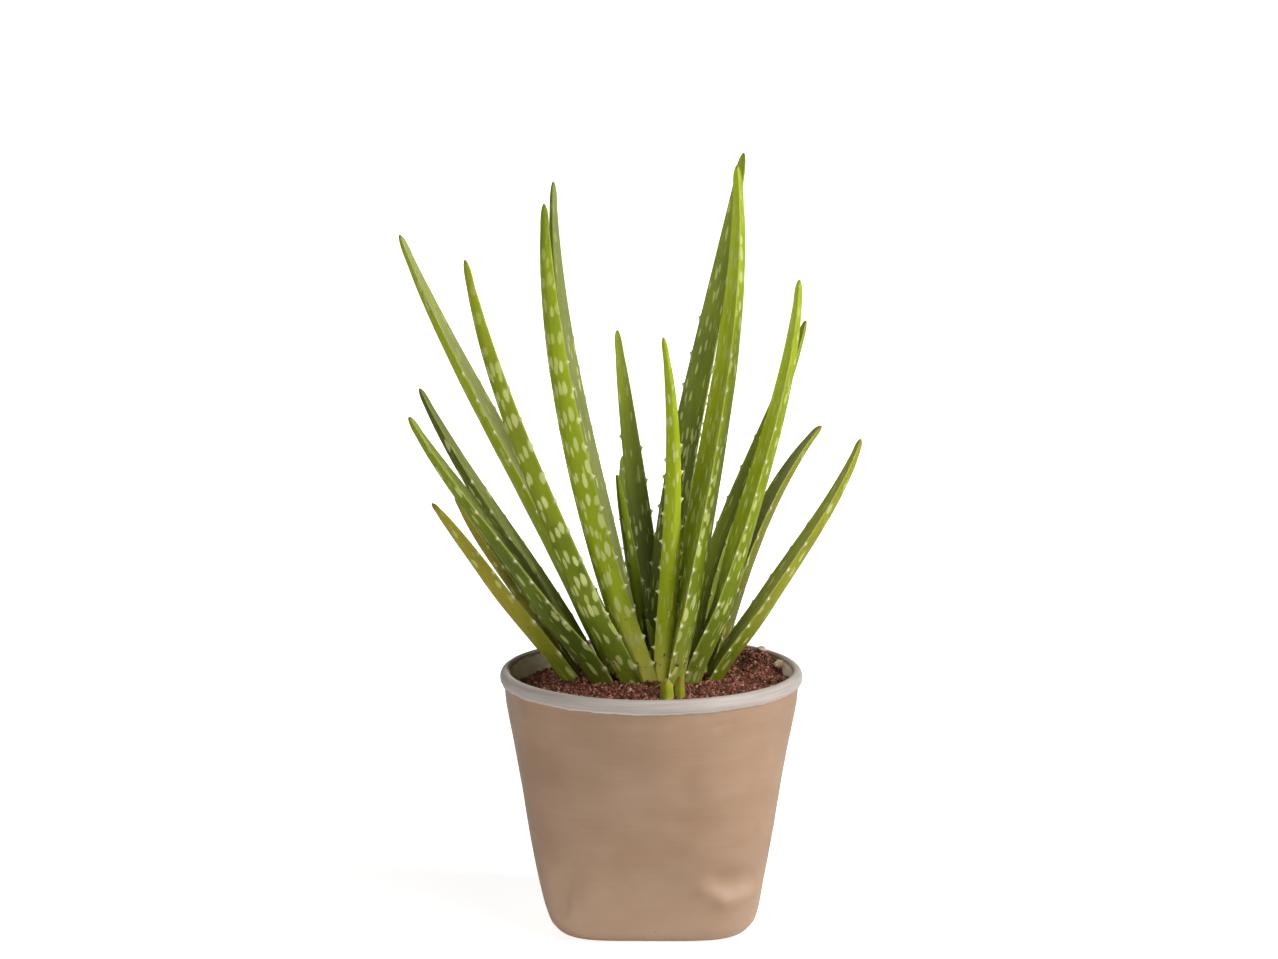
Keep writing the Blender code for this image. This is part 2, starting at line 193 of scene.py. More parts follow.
# Soil heaped round the clump higher than in the solid, against the feet of the leaves
MOUND_HEIGHT = 4.6
MOUND_START = 0.72
MOUND_FADE = 0.5

# Soil banked up against the right side of the pot
BANK_HEIGHT = 2.6
BANK_START = 30.0
BANK_REACH = 26.0

# Roughness of the soil's surface: size of the lumps and their height, and the soil's fine grain
SOIL_LUMPS = ((11.0, 1.2), (4.2, 1.2), (1.7, 0.6))
SOIL_GRAIN = ((0.7, 0.7, 0.7), 0.25)

# Tone of the bed between the crumbs, kept dark as painted shade in the gaps: middle, spread and pitch
BED_SHADE_TONE = (0.22, 0.25, 3.0)

# Form of a crumb: swell and its pitch, how far its corners are out, and how it is stretched
CRUMB_SWELL = (0.45, 1.3)
CRUMB_ROUGHNESS = (0.93, 1.07)
CRUMB_STRETCH = (0.65, 1.25)

# Coarse crumbs and small grains: number of shapes, subdivisions, share of faces kept
CRUMB_SEED = 11
CRUMB_SHAPES = (6, 2, 0.6)
GRAIN_SHAPES = (5, 1, 1.0)

# How they lie: spread of sizes, depth that they sink, then the middle, spread and end of their tones
CRUMBS_LIE = (0.32, 0.7, 0.46, 0.26, 1.1)
GRAINS_LIE = (0.3, 0.4, 0.48, 0.36, 1.25)

# Grains on the leaves: least half width of a leaf, grains to a millimetre of it, first distance from
# the soil and usual way on, radius, and share and size of the larger ones
DUSTED_WIDTH = 4.0
DUST_SHARE = 1.6
DUST_START = 7.0
DUST_REACH = 10.0
DUST_RADIUS = (0.2, 0.45)
LARGER_DUST = (0.12, 1.7)

# Pebbles: place and radius
PEBBLES = ((52.5, 35.5, 1.9), (60.5, 21.5, 2.3), (-54.0, 8.0, 1.0), (20.0, -46.0, 1.1), (47.0, -22.0, 0.9))
PEBBLE_FLATNESS = (1.15, 0.95, 0.8)

# Loose fibres: radius, steps along each, and how far out they start
FIBRE_SEED = 23
FIBRE_RADIUS = 0.16
FIBRE_STEPS = 9
FIBRE_REACH = 60.0
FIBRE_LENGTHS = (4.0, 11.0)

# Pale dry stalk in front of the clump, from its foot up
STALK = (
    (1.9, -15.0, 112.7),
    (3.3, -20.0, 114.7),
    (5.1, -25.0, 117.0),
    (7.4, -28.3, 119.1),
    (9.4, -26.5, 121.3),
    (11.0, -23.5, 123.2),
    (11.7, -22.0, 124.6),
)
STALK_RADIUS = 0.45

# Brown tufts of coir by it: middle and reach, and the length of a fibre as a share of that reach
TUFTS = ((11.7, -22.0, 124.6, 0.7), (-2.0, -13.5, 114.6, 1.1), (2.6, -15.0, 114.0, 1.0))
TUFT_FIBRES = 60
TUFT_LENGTHS = (0.8, 2.0)

# Leaves, with the same form as their solids
FOOT_Z = SOIL_LEVEL + 1.0
MARGIN_THICKNESS = 1.0
MARGIN_SHARE = 0.4
MARGIN_ROUNDNESS = 12
CHANNEL_AT_TIP = 0.10
CHANNEL_DEEPENS = 0.28
THICK_AT_FOOT = 0.66
THICK_GROWS = 0.14
TOOTH_HEIGHT = 2.4
TOOTH_RISE = 0.7
FIRST_TOOTH = 10.0
TOOTHED_SHARE = 0.7
TOOTH_SPACING = (12.0, 16.0)
SPACING_DRAW = (0.88, 1.12)
HEIGHT_DRAW = (0.85, 1.1)
TOOTH_SKEW = 3.3
SKEW_REACH = 30.0
TAPER = (1.7, 0.52)
NARROW_FOOT = 0.18
NARROW_REACH = 35.0
TURN_SHARE = 0.45
TOOTH_SEED = 7

# Leaves, where they differ from their solids: feet that run on into the soil, fuller tips, low swells
# on the flesh, and short leaves with blunt tips and torn edges
BURIED_RINGS = (-8.0, -4.0)
TIP_SWELL = 0.5
TIP_FROM = 0.93
FLESH_SWELL = 0.16
FLESH_SWELL_PITCH = 23.0
USUAL_HALF_WIDTH = 8.0
BLUNT_BELOW = 20.0
BLUNT_TAPER = (3.0, 0.75)
TORN_EDGE = 1.2
TORN_PITCH = 1.3

# Lower teeth than in the solids, their pale tone, and the rings round a tooth and near the tip
TOOTH_REACH = 1.9
TOOTH_FLARE = 4.0
TOOTH_CURVE = 2.0
TOOTH_SHARE = 0.78
TOOTH_SHRINKS = 0.4
TOOTH_THINS = 0.7
TOOTH_TONE = 2.0
FLARE_TONE = 0.16
TOOTH_EDGE = (0.88, 1.5)
FLARE_EDGE = (0.9, 1.0)
TOOTH_RINGS = (-2.5, -1.8, -1.2, -0.75, -0.38, 0.0, 0.38, 0.75, 1.2, 1.8, 2.5)
TIP_RINGS = (14.0, 10.5, 7.5, 5.2, 3.5, 2.2, 1.3, 0.7, 0.3)
BACK_COLUMNS = 24
CHANNEL_COLUMNS = 18

# Steps in the pattern's place that keep the flecks of two leaves, or of two sides, from matching
NEXT_LEAF_PATTERN = (83.0, 271.0)
CHANNEL_PATTERN = 40.0

# Name: foot on the soil, two points of the way up, tip, half width, facing of the back at the
# foot and higher up
LEAVES = {
    "leaf_left_lowest": ((-39, 3), (-67, 0, 150), (-86, -6, 178), (-100, -12, 198), 6.2, 205, 205),
    "leaf_left_lowest_back": ((-34, 15), (-60, 14, 149), (-77, 14, 173), (-91, 14, 197), 5.4, 180, 180),
    "leaf_left_low_front": ((-28, -5), (-51.5, -14, 155), (-81, -28, 198), (-108, -42, 242), 8.5, 205, 172),
    "leaf_left_low_back": ((-25, 14), (-53, 14, 156), (-82, 15, 201), (-107, 16, 247), 8.0, 175, 168),
    "leaf_left_tall_back": ((-16, 18), (-48.5, 23, 179), (-85.5, 31, 248), (-117, 38, 316), 8.9, 150, 161),
    "leaf_left_tall_front": ((-13, -7), (-41, -24, 180), (-66, -40, 248), (-82, -52, 313), 7.0, 225, 225),
    "leaf_front_left": ((-4, 1), (-28, -16, 189), (-43, -38, 267), (-47, -58, 338), 7.2, 235, 235),
    "leaf_front_left_inner": ((-6, 13), (-24, 20, 187), (-39.8, 24, 265), (-45, 22, 342), 7.4, 165, 154),
    "leaf_small_inner": ((-4, 31), (-7, 34, 144), (-12, 35, 177), (-16, 33, 204), 3.8, 250, 250),
    "leaf_back_low": ((-8, 44), (-6, 58, 145), (-11, 76, 174), (-13.5, 90, 204), 4.6, 90, 90),
    "leaf_back_centre": ((4, 38), (-2, 48, 161), (-9, 60, 214), (-16, 68, 268), 6.4, 80, 80),
    "leaf_spear": ((7, 13), (4, 13, 118), (1, 13, 128), (-2, 13, 139), 2.6, 90, 90),
    "leaf_back_right_tall": ((8, 24), (13, 37, 190), (28.5, 48, 271), (43.5, 54, 353), 8.4, 60, 60),
    "leaf_front_centre": ((6, 2), (9, -16, 169), (10, -38, 226), (5, -62, 280), 4.8, 285, 285),
    "leaf_front_right_tall": ((13.5, -9.5), (24, -16, 193), (36, -24, 274), (38, -30, 353), 9.8, 310, 385),
    "leaf_right_back": ((23, 14), (31, 16, 166), (52, 16, 222), (71, 12, 279), 7.0, 30, 30),
    "leaf_right_front": ((24.5, -2), (40, -16, 177), (57, -29, 242), (65.4, -40, 303), 8.1, 350, 380),
    "leaf_right_low_back": ((28, 27), (40, 32, 149), (57, 42, 189), (81, 54, 224), 8.0, 25, 25),
    "leaf_right_low_front": ((32, 3), (53, -4, 150), (78, -8, 190), (95.5, -8, 227), 7.4, 5, 15),
    "pup_leaf_left": ((7, -24.5), (7, -24.5, 112), (6.8, -24.7, 116), (6, -25, 118.5), 3.6, 262, 262),
    "pup_leaf_right": ((13, -22.4), (13, -22.4, 112), (13, -22.6, 116), (13.4, -23, 120), 3.4, 282, 282),
}

# Name: how far the foot bends sideways and forwards, fading out higher up
FOOT_BENDS = {
    "leaf_left_lowest": (3.5, 0.0),
    "leaf_left_low_front": (6.0, 0.0),
    "leaf_left_tall_front": (4.4, 0.0),
    "leaf_front_left": (2.2, -6.0),
    "leaf_front_centre": (-1.0, -6.0),
    "leaf_front_right_tall": (-3.5, 0.0),
    "leaf_right_front": (-6.0, 0.0),
    "leaf_right_low_front": (-4.0, 0.0),
}
BEND_REACH = 45.0

# Name: facing of the foot, where it turns its margin to the front
FOOT_TURNS = {"leaf_front_right_tall": 367}

# Leaves whose tips haven't dried, and how much further from the tip their pattern seems to lie
FRESH_TIPS = ("pup_leaf_left", "leaf_spear")
FRESH_TIP = 10.0

# Patterns along a leaf: size in millimetres across, along and in depth, and contrast
LEAF_FIBRES = ((0.5, 30.0, 1.0), 0.25)
LEAF_STREAKS = ((2.2, 60.0, 1.0), 0.22)
LEAF_PATCHES = ((9.0, 34.0, 1.0), 0.22)
BLOOM_LINES = ((0.42, 70.0, 1.0), 0.12)
BLOOM_AND_SHEEN_VEIL = ((3.6, 42.0, 1.0), 0.2)

# Ages at which the flesh turns from deep to old and from fresh to sunlit, how patchy its age is, and
# shares of the way up over which it yellows. Deep stands mostly for painted shade low in the clump,
# and sunlit for painted light near the tips
OLD_AGES = (-0.75, 0.1)
SUNLIT_AGES = (1.0, 1.6)
AGE_PATCHES = 0.3
YELLOWED_SHARES = (0.1, 1.1)

# Strength of each layer over the flesh
STREAK_STRENGTH = 0.2
FIBRE_STRENGTH = 0.05
BLOOM_LINE_STRENGTH = 0.3
MARGIN_STRENGTH = 0.5
DRY_STRENGTH = 0.6

# Shares of the way along a leaf, or out to its margin, over which a layer comes or goes
PALE_REACH = 0.2
BANDS_FADE = (0.55, 0.9)
SPECKS_FADE = (0.25, 0.6)
MARGIN_LINE = (0.955, 0.99)

# Flecks in bands, loose flecks and thin dashes: pitch across and along, width and length beside the
# usual fleck, share of them that is there, strength, unevenness of their places, waver
FLECKS_IN_BANDS = ((1.7, 13.4), (0.92, 1.15), 1.0, 1.0, 0.45, 0.25)
LOOSE_FLECKS = ((2.6, 10.5), (0.9, 1.0), 0.8, 1.0, 1.0, 0.25)
THIN_DASHES = ((1.5, 8.0), (0.36, 0.9), 0.5, 0.6, 1.0, 0.1)
FLECK_SOFTNESS = 0.4
FEWER_BESIDE_BANDS = 0.7
NARROWER_OFF_BANDS = 0.25
FLECKS_START = (2.0, 30.0)

# Brown pinpoint marks: pitch, half size and share
LEAF_SPECKS = ((3.4, 4.2, 1.0), (0.35, 0.35, 1000.0), 0.14)

# Clouds on the floor, and the distances over which its glow grows
FLOOR_CLOUDS = ((220.0, 220.0, 220.0), 0.4)
FLOOR_FAR = (250.0, 1500.0)

# Name: freshness at the foot and at the tip, which carry painted shade low in the clump and painted
# light near the tips as well as age, yellowing, share of flecks, flecks in bands, bloom in the channel
# with painted sheen, pale foot, painted shade on the back (below 0, painted light)
LEAF_LOOKS = {
    "leaf_left_lowest": (0.35, 0.45, 1.0, 0.35, 0.0, 0.2, 0.0, 0.0),
    "leaf_left_lowest_back": (-0.2, 0.5, 0.85, 0.4, 0.0, 0.2, 0.0, 0.0),
    "leaf_left_low_front": (-0.38, 0.55, 0.05, 0.45, 0.3, 0.4, 0.0, 0.0),
    "leaf_left_low_back": (0.8, -0.7, 0.1, 0.3, 0.1, 0.45, 0.0, -0.15),
    "leaf_left_tall_back": (1.5, 1.2, 0.1, 0.4, 0.6, 1.0, 0.0, 0.4),
    "leaf_left_tall_front": (0.03, 0.6, 0.15, 0.85, 1.0, 0.5, 0.0, 0.0),
    "leaf_front_left": (0.85, 0.42, 0.0, 0.95, 1.0, 0.5, 1.0, 0.0),
    "leaf_front_left_inner": (0.2, -0.1, 0.05, 0.3, 0.4, 0.5, 0.0, -0.3),
    "leaf_small_inner": (0.2, 0.5, 0.0, 0.4, 0.0, 0.2, 0.0, 0.0),
    "leaf_back_low": (0.25, 0.3, 0.0, 0.2, 0.0, 0.2, 0.0, 0.0),
    "leaf_back_centre": (-1.15, 1.35, 0.0, 0.4, 0.1, 0.2, 0.0, 0.0),
    "leaf_spear": (0.5, 0.6, 0.05, 0.1, 0.0, 0.2, 0.0, 0.0),
    "leaf_back_right_tall": (-0.25, 0.6, 0.0, 0.6, 0.2, 0.15, 0.0, 0.15),
    "leaf_front_centre": (1.3, 1.25, 0.0, 0.8, 0.0, 0.2, 1.0, 0.4),
    "leaf_front_right_tall": (0.05, 1.8, 0.0, 0.9, 0.1, 0.0, 0.3, 0.9),
    "leaf_right_back": (0.4, 0.7, 0.0, 0.5, 0.0, 0.2, 0.0, 0.0),
    "leaf_right_front": (0.05, 1.95, 0.0, 0.65, 0.0, 0.0, 0.15, 0.9),
    "leaf_right_low_back": (-0.8, 0.5, 0.35, 0.2, 0.0, 0.2, 0.0, 0.0),
    "leaf_right_low_front": (0.35, 0.75, 0.45, 0.35, 0.0, 0.2, 0.0, 0.1),
    "pup_leaf_left": (0.8, 0.9, 0.35, 0.1, 0.0, 0.1, 0.25, 0.0),
    "pup_leaf_right": (0.55, 0.65, 0.4, 0.1, 0.0, 0.1, 0.1, 0.0),
}


def paint(red, green, blue):
    """Turn a screen colour of 0 to 255 into linear light."""
    shares = (value / 255.0 for value in (red, green, blue))
    return tuple(s / 12.92 if s <= 0.04045 else ((s + 0.055) / 1.055) ** 2.4 for s in shares)


def colour_setting(name, description, red, green, blue):
    """Declare a colour that a user may change."""
    return FloatVectorProperty(
        name=name, description=description, subtype="COLOR", size=3, min=0.0, max=1.0,
        default=paint(red, green, blue),
    )


def length_setting(name, description, millimetres):
    """Declare a length that a user may change."""
    return FloatProperty(
        name=name, description=description, subtype="DISTANCE", unit="LENGTH", min=0.0,
        default=millimetres * MM, precision=4,
    )


def strength_setting(name, description, value, unit="NONE"):
    """Declare a strength or a power that a user may change."""
    return FloatProperty(name=name, description=description, default=value, min=0.0, unit=unit)


def count_setting(name, description, usual, least, most):
    """Declare a number of steps or pieces that a user may change."""
    return IntProperty(name=name, description=description, default=usual, min=least, max=most)


class AloePotSettings(bpy.types.PropertyGroup):
    """Size steps and colours of the pot"""

    sides: count_setting("Sides", "Steps round the pot", 240, 48, 400)
    body: colour_setting("Body", "Fired clay of the body", 172, 141, 115)
    shade: colour_setting("Body shade", "Darker patches of the clay", 162, 130, 103)
    band: colour_setting("Band", "Painted band round the rim", 192, 183, 175)
    band_shade: colour_setting("Band shade", "Thin paint on the band", 170, 160, 153)
    inside: colour_setting("Inside", "Inner wall above the soil", 232, 222, 206)
    bare_line: colour_setting("Bare line", "Clay that shows at the inner edge", 140, 96, 66)


class AloeSoilSettings(bpy.types.PropertyGroup):
    """Amounts and colours of the soil"""

    crumbs: count_setting("Crumbs", "Number of coarse crumbs", 3200, 0, 4000)
    grains: count_setting("Grains", "Number of small grains", 9000, 0, 12000)
    fibres: count_setting("Fibres", "Number of loose fibres", 110, 0, 400)
    crumb_size: length_setting("Crumb size", "Usual radius of a coarse crumb", 0.66)
    grain_size: length_setting("Grain size", "Usual radius of a small grain", 0.4)
    dark: colour_setting("Dark", "Wet and shaded soil", 50, 23, 15)
    mid: colour_setting("Middle", "Usual colour of the soil", 142, 78, 54)
    # Light is the colour of dry crumbs, and on the lightest crumbs it is also painted glints
    light: colour_setting("Light", "Dry crumbs", 214, 160, 136)
    fibre: colour_setting("Fibre", "Loose coir fibres", 150, 104, 76)
    stalk: colour_setting("Stalk", "Dry stalk at the clump's foot", 190, 188, 100)
    pebble: colour_setting("Pebble", "Cream pebbles", 222, 203, 178)


class AloeLeafSettings(bpy.types.PropertyGroup):
    """Steps and colours of the leaves"""

    ring_gap: length_setting("Ring gap", "Step along the smooth parts of a leaf", 3.0)
    # Sunlit, fresh, old and deep make the ramp that a leaf's freshness reads: the leaves' age, with painted
    # light near the tips at the sunlit end and painted shade low in the clump at the deep end
    sunlit: colour_setting("Sunlit", "Lightest flesh, near the tips", 186, 204, 46)
    fresh: colour_setting("Fresh", "Young flesh", 163, 178, 22)
    old: colour_setting("Old", "Old, dark flesh", 81, 99, 13)
    yellow: colour_setting("Yellowed", "Ageing flesh", 164, 152, 46)
    base: colour_setting("Base", "Pale flesh near the soil", 222, 220, 96)
    deep: colour_setting("Deep", "Darkest flesh, low on the old leaves", 44, 57, 10)
    fleck: colour_setting("Fleck", "Pale flecks", 202, 207, 130)
    # The channel's greyish colour is partly bloom and partly painted sheen
    bloom_and_sheen: colour_setting("Bloom", "Greyish bloom in the channel", 182, 183, 124)
    margin: colour_setting("Margin", "Line along the margins", 182, 188, 92)
    tooth: colour_setting("Tooth", "Horny teeth", 236, 232, 182)
    tip: colour_setting("Tip", "Dried tips", 132, 96, 42)
    speck: colour_setting("Speck", "Brown pinpoint marks", 112, 72, 38)
    fleck_length: length_setting("Fleck length", "Length of a pale fleck along a leaf", 6.6)
    fleck_width: length_setting("Fleck width", "Width of a pale fleck across a leaf", 1.8)


class AloeStageSettings(bpy.types.PropertyGroup):
    """Floor, lights and camera"""

    floor: colour_setting("Floor", "Plain pale floor", 238, 237, 235)
    glow: strength_setting("Glow", "Glow of the floor to the camera", 0.6)
    bounce: strength_setting("Bounce", "Light that the floor gives off", 0.15)
    key: strength_setting("Key light", "Power of the main light", 31.0, "POWER")
    fill: strength_setting("Fill light", "Power of the light opposite", 11.5, "POWER")
    top: strength_setting("Top light", "Power of the light above", 2.5, "POWER")
    back: strength_setting("Back light", "Power of the light behind", 4.0, "POWER")
    ambient: strength_setting("Ambient", "Strength of the light all round", 0.06)


# Steps that every piece uses


def clear_selection():
    """Leave edit mode and deselect everything."""
    if bpy.context.mode != "OBJECT":
        bpy.ops.object.mode_set(mode="OBJECT")
    bpy.ops.object.select_all(action="DESELECT")


def choose(piece):
    """Make one piece the only selected one, and active."""
    clear_selection()
    piece.select_set(True)
    bpy.context.view_layer.objects.active = piece


def edit(piece, mode="VERT"):
    """Open one piece in edit mode with all of it selected."""
    choose(piece)
    bpy.ops.object.mode_set(mode="EDIT")
    bpy.ops.mesh.select_mode(type=mode)
    bpy.ops.mesh.select_all(action="SELECT")


def weld_and_turn_out(piece):
    """Weld the seams and poles, fill open ends and turn the faces outwards."""
    edit(piece)
    bpy.ops.mesh.remove_doubles(threshold=WELD * MM)
    bpy.ops.mesh.select_all(action="DESELECT")
    bpy.ops.mesh.select_non_manifold()
    if any(corner.select for corner in selected_corners(piece)):
        bpy.ops.mesh.edge_face_add()
    bpy.ops.mesh.select_all(action="SELECT")
    bpy.ops.mesh.normals_make_consistent(inside=False)
    clear_selection()


def selected_corners(piece):
    """Return the vertices of the piece that is being edited, with their selection brought up to date."""
    piece.update_from_editmode()
    return piece.data.vertices


def get_points(piece):
    """Return a piece's vertices as an array in metres."""
    points = np.empty(len(piece.data.vertices) * 3)
    piece.data.vertices.foreach_get("co", points)
    return points.reshape(-1, 3)


def set_points(piece, points):
    """Move a piece's vertices to the places in an array."""
    piece.data.vertices.foreach_set("co", np.asarray(points, dtype=np.float32).ravel())
    piece.data.update()


def set_attribute(mesh, name, values):
    """Store one number, or three, for each vertex."""
    values = np.asarray(values, dtype=np.float32)
    if values.ndim == 1:
        mesh.attributes.new(name, "FLOAT", "POINT").data.foreach_set("value", values)
    else:
        mesh.attributes.new(name, "FLOAT_VECTOR", "POINT").data.foreach_set("vector", values.ravel())


def finish_piece(piece, name, slot, material, *solids):
    """Name a piece, give it its material and let it ride on the body, in place of its solids."""
    choose(piece)
    bpy.ops.object.transform_apply(location=True, rotation=True, scale=True)
    piece.name = name
    piece.data.name = name
    piece.data.materials.clear()
    piece.data.materials.append(material)
    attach(piece, BODY)
    if solids:
        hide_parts(*solids)
    clear_selection()


def smooth_step(value):
    """Return 0 below 0, 1 above 1 and a soft rise between."""
    value = np.clip(value, 0.0, 1.0)
    return value * value * (3.0 - 2.0 * value)


def smooth_between(pairs, place):
    """Read a value from (place, value) pairs along a soft curve."""
    places = [pair[0] for pair in pairs]
    values = [pair[1] for pair in pairs]
    last = len(pairs) - 1
    slopes = []
    for index in range(len(pairs)):
        low, high = max(index - 1, 0), min(index + 1, last)
        slopes.append((values[high] - values[low]) / (places[high] - places[low]))
    if place <= places[0]:
        return values[0]
    if place >= places[-1]:
        return values[-1]
    index = max(i for i in range(last) if places[i] <= place)
    reach = places[index + 1] - places[index]
    share = (place - places[index]) / reach
    rise = smooth_step(share)
    start = share * (1.0 - share) ** 2 * slopes[index]
    end = share * share * (share - 1.0) * slopes[index + 1]
    return values[index] + rise * (values[index + 1] - values[index]) + reach * (start + end)


# Shader nodes


def feed(tree, node, values):
    """Link or set the inputs of a node."""
    for key, value in values.items():
        if isinstance(value, bpy.types.NodeSocket):
            tree.links.new(value, node.inputs[key])
        else:
            node.inputs[key].default_value = value


def add(tree, kind, values=None, **settings):
    """Add a node, with its settings, and its inputs set or linked."""
    node = tree.nodes.new(kind)
    for name, value in settings.items():
        setattr(node, name, value)
    feed(tree, node, values or {})
    return node


def maths(tree, operation, first, second=0.0):
    """Add a maths node and return its result."""
    return add(tree, "ShaderNodeMath", {0: first, 1: second}, operation=operation).outputs[0]


def scaled(tree, value, factor, offset):
    """Multiply a value by a factor and add an offset."""
    values = {0: value, 1: factor, 2: offset}
    return add(tree, "ShaderNodeMath", values, operation="MULTIPLY_ADD").outputs[0]


def shift(tree, value, cloud, reach):
    """Move a value up and down by a cloudy mask, by half the reach at most."""
    return scaled(tree, maths(tree, "SUBTRACT", cloud, 0.5), reach, value)


def rest_of(tree, mask):
    """Return what a mask leaves out."""
    return maths(tree, "SUBTRACT", 1.0, mask)


def vector_maths(tree, operation, first, second=(0.0, 0.0, 0.0), output="Vector"):
    """Add a vector maths node and return its result."""
    return add(tree, "ShaderNodeVectorMath", {0: first, 1: second}, operation=operation).outputs[output]


def split(tree, vector):
    """Return the three parts of a vector."""
    return add(tree, "ShaderNodeSeparateXYZ", {0: vector}).outputs[0:3]


def rise(tree, value, low, high):
    """Return a mask that rises softly from 0 at low to 1 at high."""
    values = {"Value": value, "From Min": low, "From Max": high}
    return add(tree, "ShaderNodeMapRange", values, interpolation_type="SMOOTHSTEP").outputs["Result"]


def stripe(tree, value, start, end):
    """Return a mask that rises over one range and falls over another."""
    return maths(tree, "SUBTRACT", rise(tree, value, *start), rise(tree, value, *end))


def blend(tree, mask, first, second, strength=None):
    """Mix two colours by a mask, weakened where a strength is given, and return the colour."""
    if strength is not None:
        mask = maths(tree, "MULTIPLY", mask, strength)
    sockets = {0: mask}
    for index, colour in ((6, first), (7, second)):
        sockets[index] = colour if isinstance(colour, bpy.types.NodeSocket) else (*colour, 1.0)
    return add(tree, "ShaderNodeMix", sockets, data_type="RGBA").outputs[2]


def tint(tree, mask, colour, shade, strength):
    """Tint a colour by a mask towards a screen colour of 0 to 255."""
    return blend(tree, mask, colour, paint(*shade), strength)


def attribute(tree, name, output="Vector"):
    """Read one of the piece's own attributes."""
    return add(tree, "ShaderNodeAttribute", attribute_name=name).outputs[output]


def new_group(name, inputs):
    """Start a shader node group with named inputs and one mask as its output."""
    tree = bpy.data.node_groups.new(name, "ShaderNodeTree")
    for label, kind, value in inputs:
        socket = tree.interface.new_socket(label, in_out="INPUT", socket_type="NodeSocket" + kind)
        socket.default_value = value
    tree.interface.new_socket("Mask", in_out="OUTPUT", socket_type="NodeSocketFloat")
    return tree, tree.nodes.new("NodeGroupInput").outputs, tree.nodes.new("NodeGroupOutput").inputs


def mottle_group():
    """Cloudy patches of a given size in millimetres, which may be stretched to streaks."""
    name = "Aloe mottle"
    if name in bpy.data.node_groups:
        return bpy.data.node_groups[name]
    inputs = (("Vector", "Vector", (0, 0, 0)), ("Size", "Vector", (1, 1, 1)), ("Contrast", "Float", 0.2))
    tree, given, result = new_group(name, inputs)
    place = vector_maths(tree, "DIVIDE", given["Vector"], given["Size"])
    cloud = add(tree, "ShaderNodeTexNoise", {"Vector": place, "Scale": 1.0, "Detail": 4.0})
    low = maths(tree, "SUBTRACT", 0.5, given["Contrast"])
    high = maths(tree, "ADD", 0.5, given["Contrast"])
    tree.links.new(rise(tree, cloud.outputs["Fac"], low, high), result["Mask"])
    return tree


def dots_group(dimensions):
    """Soft dots in depth or long flecks on a surface, one to a cell, each with its own strength."""
    name = "Aloe dots " + dimensions
    if name in bpy.data.node_groups:
        return bpy.data.node_groups[name]
    inputs = (
        ("Vector", "Vector", (0, 0, 0)), ("Pitch", "Vector", (1, 1, 1)), ("Half Size", "Vector", (1, 1, 1)),
        ("Jitter", "Float", 1.0), ("Share", "Float", 0.5), ("Softness", "Float", 0.5),
        ("Waver", "Float", 0.1),
    )
    tree, given, result = new_group(name, inputs)
    place = vector_maths(tree, "DIVIDE", given["Vector"], given["Pitch"])
    values = {"Vector": place, "Scale": 1.7, "Detail": 1.0}
    cloud = add(tree, "ShaderNodeTexNoise", values, noise_dimensions=dimensions).outputs["Color"]
    values = {0: vector_maths(tree, "SUBTRACT", cloud, (0.5, 0.5, 0.5)), "Scale": given["Waver"]}
    moved = add(tree, "ShaderNodeVectorMath", values, operation="SCALE").outputs[0]
    shifted = vector_maths(tree, "ADD", place, moved)
    values = {"Vector": shifted, "Scale": 1.0, "Randomness": given["Jitter"]}
    cells = add(tree, "ShaderNodeTexVoronoi", values, voronoi_dimensions=dimensions).outputs
    offset = vector_maths(tree, "SUBTRACT", shifted, cells["Position"])
    spread = vector_maths(tree, "MULTIPLY", offset, given["Pitch"])
    ratio = vector_maths(tree, "DIVIDE", spread, given["Half Size"])
    away = vector_maths(tree, "LENGTH", ratio, output="Value")
    chance = add(tree, "ShaderNodeSeparateColor", {"Color": cells["Color"]}).outputs
    away = maths(tree, "DIVIDE", away, scaled(tree, chance["Green"], 0.45, 0.7))
    inside = rest_of(tree, rise(tree, away, rest_of(tree, given["Softness"]), 1.0))
    present = maths(tree, "LESS_THAN", chance["Red"], given["Share"])
    strength = scaled(tree, chance["Blue"], 0.35, 0.65)
    mask = maths(tree, "MULTIPLY", maths(tree, "MULTIPLY", inside, present), strength)
    tree.links.new(mask, result["Mask"])
    return tree


def mottle(tree, vector, size, contrast):
    """Place the mottle group in a material and return its mask."""
    values = {"Vector": vector, "Size": size, "Contrast": contrast}
    return add(tree, "ShaderNodeGroup", node_tree=mottle_group(), values=values).outputs["Mask"]


def dots(tree, vector, pitch, half_size, share, jitter=1.0, softness=0.5, waver=0.1, dimensions="3D"):
    """Place the dots group in a material and return its mask."""
    values = {
        "Vector": vector, "Pitch": pitch, "Half Size": half_size, "Jitter": jitter, "Share": share,
        "Softness": softness, "Waver": waver,
    }
    return add(tree, "ShaderNodeGroup", node_tree=dots_group(dimensions), values=values).outputs["Mask"]


def new_material(name, colour):
    """Start a material and return it with its tree and its surface shader."""
    material = bpy.data.materials.new(name)
    material.use_nodes = True
    material.diffuse_color = (*colour, 1.0)
    return material, material.node_tree, material.node_tree.nodes["Principled BSDF"]


def object_millimetres(tree):
    """Return the place on the object in millimetres."""
    place = add(tree, "ShaderNodeTexCoord").outputs["Object"]
    return vector_maths(tree, "MULTIPLY", place, (1.0 / MM, 1.0 / MM, 1.0 / MM))


def bump(tree, height, strength, distance):
    """Raise the surface by a height map and return the normal."""
    values = {"Height": height, "Strength": strength, "Distance": distance * MM}
    return add(tree, "ShaderNodeBump", values).outputs["Normal"]


